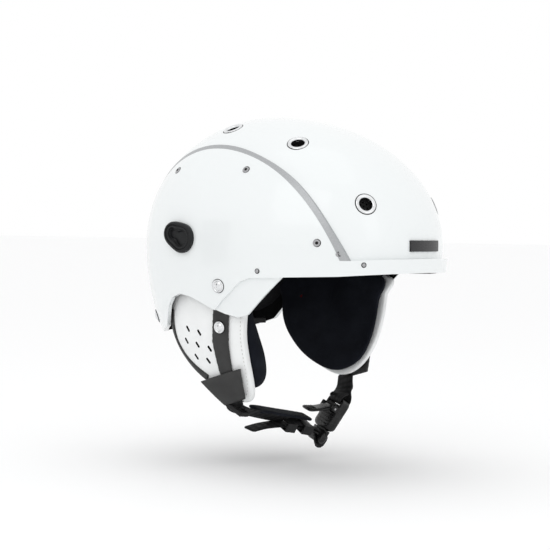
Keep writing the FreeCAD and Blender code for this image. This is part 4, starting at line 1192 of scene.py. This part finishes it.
def vent_rings():
    """Each chrome vent ring with a rolled edge, and a thin black ring round it as painted shade where it meets the
    shell.
    """
    for node in [name for name in NODES if name.startswith("eyelet_")]:
        points = [v.co for v in NODES[node].data.vertices]
        centre, axis = axis_of(points)
        top = centre + axis * max((p - centre).dot(axis) for p in points)
        dress(lathe(node + "_rolled", top, axis, VENT_RING), SLOTS[node], BODY_OF[node], node)
        # thin black ring round the chrome: painted shade at its outer edge
        painted_shade_ring = lathe(node + "_gasket", top, axis, bead(9.45, -0.85, 0.45, 0.4, 14))
        dress(painted_shade_ring, "vent_mesh", BODY_OF[node])


def solids(node):
    """Points of each separate solid in a CAD node."""
    work = bmesh.new()
    work.from_mesh(NODES[node].data)
    bmesh.ops.remove_doubles(work, verts=work.verts, dist=1e-6)
    left = set(work.verts)
    groups = []
    while left:
        pile = [left.pop()]
        found = []
        while pile:
            vertex = pile.pop()
            found.append(vertex.co.copy())
            for edge in vertex.link_edges:
                other = edge.other_vert(vertex)
                if other in left:
                    left.remove(other)
                    pile.append(other)
        groups.append(found)
    work.free()
    return groups


def middle_of(points):
    return Vector([(min(p[k] for p in points) + max(p[k] for p in points)) / 2 for k in range(3)])


def fastener_details():
    """Black hex plug of painted shade in each screw's recess, and a black ring of painted shade where each screw
    and rivet sits.
    """
    skin = [(f.center.copy(), f.normal.copy()) for f in NODES["lower_shell"].data.polygons
            if f.normal.dot(f.center.normalized()) > 0.5]
    for node, radius, head in FASTENERS:
        for number, points in enumerate(solids(node)):
            centre = middle_of(points)
            near = sorted(skin, key=lambda face: (face[0] - centre).length)[:12]
            outward = sum((normal for _, normal in near), Vector()).normalized()
            top = max((p - centre).dot(outward) for p in points)
            base = centre + outward * (top - head * MM)
            # black ring at the foot of the head: painted shade at the seat
            line = lathe(f"{node}_line_{number}", base, outward, bead(radius, 0.2, 0.36, 0.25, 8), 32)
            dress(line, "vent_mesh", "helmet")
            if node == "panel_screws":
                # black hex plug standing in the head: painted shade of the hex recess
                recess = [(0.02, 0.3), (1.45, 0.3), (1.45, head + 0.05), (0.02, head + 0.05)]
                dress(lathe(f"screw_recess_shade_{number}", base, outward, recess, 6), "vent_mesh", "helmet")


def snap_caps():
    """Pressed chrome caps with a rolled rim and a groove round the dome, each with a thin black ring of painted
    shade at its foot.
    """
    for node in ("shell_snaps", "ear_snap_right", "ear_snap_left", "goggle_tab_snap"):
        for number, points in enumerate(solids(node)):
            centre, axis = axis_of(points)
            top = max((p - centre).dot(axis) for p in points)
            size = 1.0 if node == "shell_snaps" else 0.94
            base = centre + axis * (top - 2.4 * MM)
            profile = [(r * size, h) for r, h in SNAP_CAP]
            dress(lathe(f"{node}_cap_{number}", base, axis, profile, 48), "chrome", BODY_OF[node], node)
            # thin black ring at the cap's foot: painted shade where it sits
            ring = bead(6.0 * size, 0.05, 0.3, 0.25, 8)
            dress(lathe(f"{node}_line_{number}", base, axis, ring, 48), "vent_mesh", BODY_OF[node])


def size_tag():
    """Plain red tag sewn to the far side's lining."""
    work = bmesh.new()
    spot = Vector(TAG_SPOT) * MM
    down = Vector((-0.25, 0.1, -1)).normalized()
    along = Vector((0.1, 1, 0)).normalized() * TAG_HALF_WIDE * MM
    rows = []
    for step in range(9):
        curl = Vector((-1, 0, 0)) * (0.8 * MM * math.sin(step * 0.55))
        middle = spot + down * (TAG_LONG * MM * step / 8) + curl
        rows.append([work.verts.new(middle + along * side) for side in (-1, -0.5, 0, 0.5, 1)])
    for near, far in zip(rows, rows[1:]):
        for k in range(4):
            work.faces.new((near[k], near[k + 1], far[k + 1], far[k]))
    tag = from_bmesh("plain_tag", work)
    modify(tag, "SOLIDIFY", thickness=0.5 * MM)
    dress(tag, "comfort_fabric", "ear_pad_left", look="tag_red")


# ---- start of the build
# CAD nodes that are kept in shape and softened: (node, voxel in millimetres, rounds of smoothing)
LEATHER_STRAPS = (
    ("ear_strap_front_right", 0.7, 3), ("ear_strap_front_left", 0.7, 3),
    ("strap_sleeve_right", 0.8, 4), ("strap_sleeve_left", 0.8, 4),
    ("goggle_tab", 0.7, 3), ("goggle_tab_root", 0.7, 2),
)
HARD_PIECES = (
    ("strap_slider", 0.45, 3), ("strap_keeper_front", 0.45, 4), ("strap_keeper_rear", 0.45, 4),
    ("buckle_housing", 0.5, 5), ("ratchet_tongue", 0.4, 2), ("fit_case", 0.6, 2),
    ("fit_band_right", 0.45, 1), ("fit_band_left", 0.45, 1), ("fit_dial", 0.45, 2),
)
LEATHER_SWELLING = 2.2 * MM
LINING_SWELLING = 5.0 * MM

set_camera()
set_light()
MATERIALS = {name: maker(name, *details) for name, (maker, *details) in LOOKS.items()}
SLOTS = finish_cad_nodes()
BODY_OF = {node: body for body, group in frame["record"]["behaviour"]["bodies"].items() for node in group}

soften(LEATHER_STRAPS)
forms = {name: ear_pad_forms(name, side) for name, side in SIDES.items()}
padded = [form for _, leather_pad, lining in forms.values() for form in (leather_pad, lining)]
cushions = comfort_pads()
swell(
    [form[0] for form in padded] + [cushion[1] for cushion in cushions],
    [LEATHER_SWELLING, LINING_SWELLING] * 2 + [cushion[3] for cushion in cushions],
    [form[1] for form in padded] + [cushion[2] for cushion in cushions],
)
for name, side in SIDES.items():
    finish_ear_pad(name, side, *forms[name])
for node, thing, _, _ in cushions:
    finish_comfort(node, thing)

chin_webbing()
left_band()
soften(HARD_PIECES)
buckle_covers()
for name, side in SIDES.items():
    mask_socket(name, side)
vent_rings()
fastener_details()
snap_caps()
size_tag()

set_floor(min(CAD_BOX[0].z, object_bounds()[0].z) - FLOOR_GAP)
dark_card(-121, 3, 1.2)
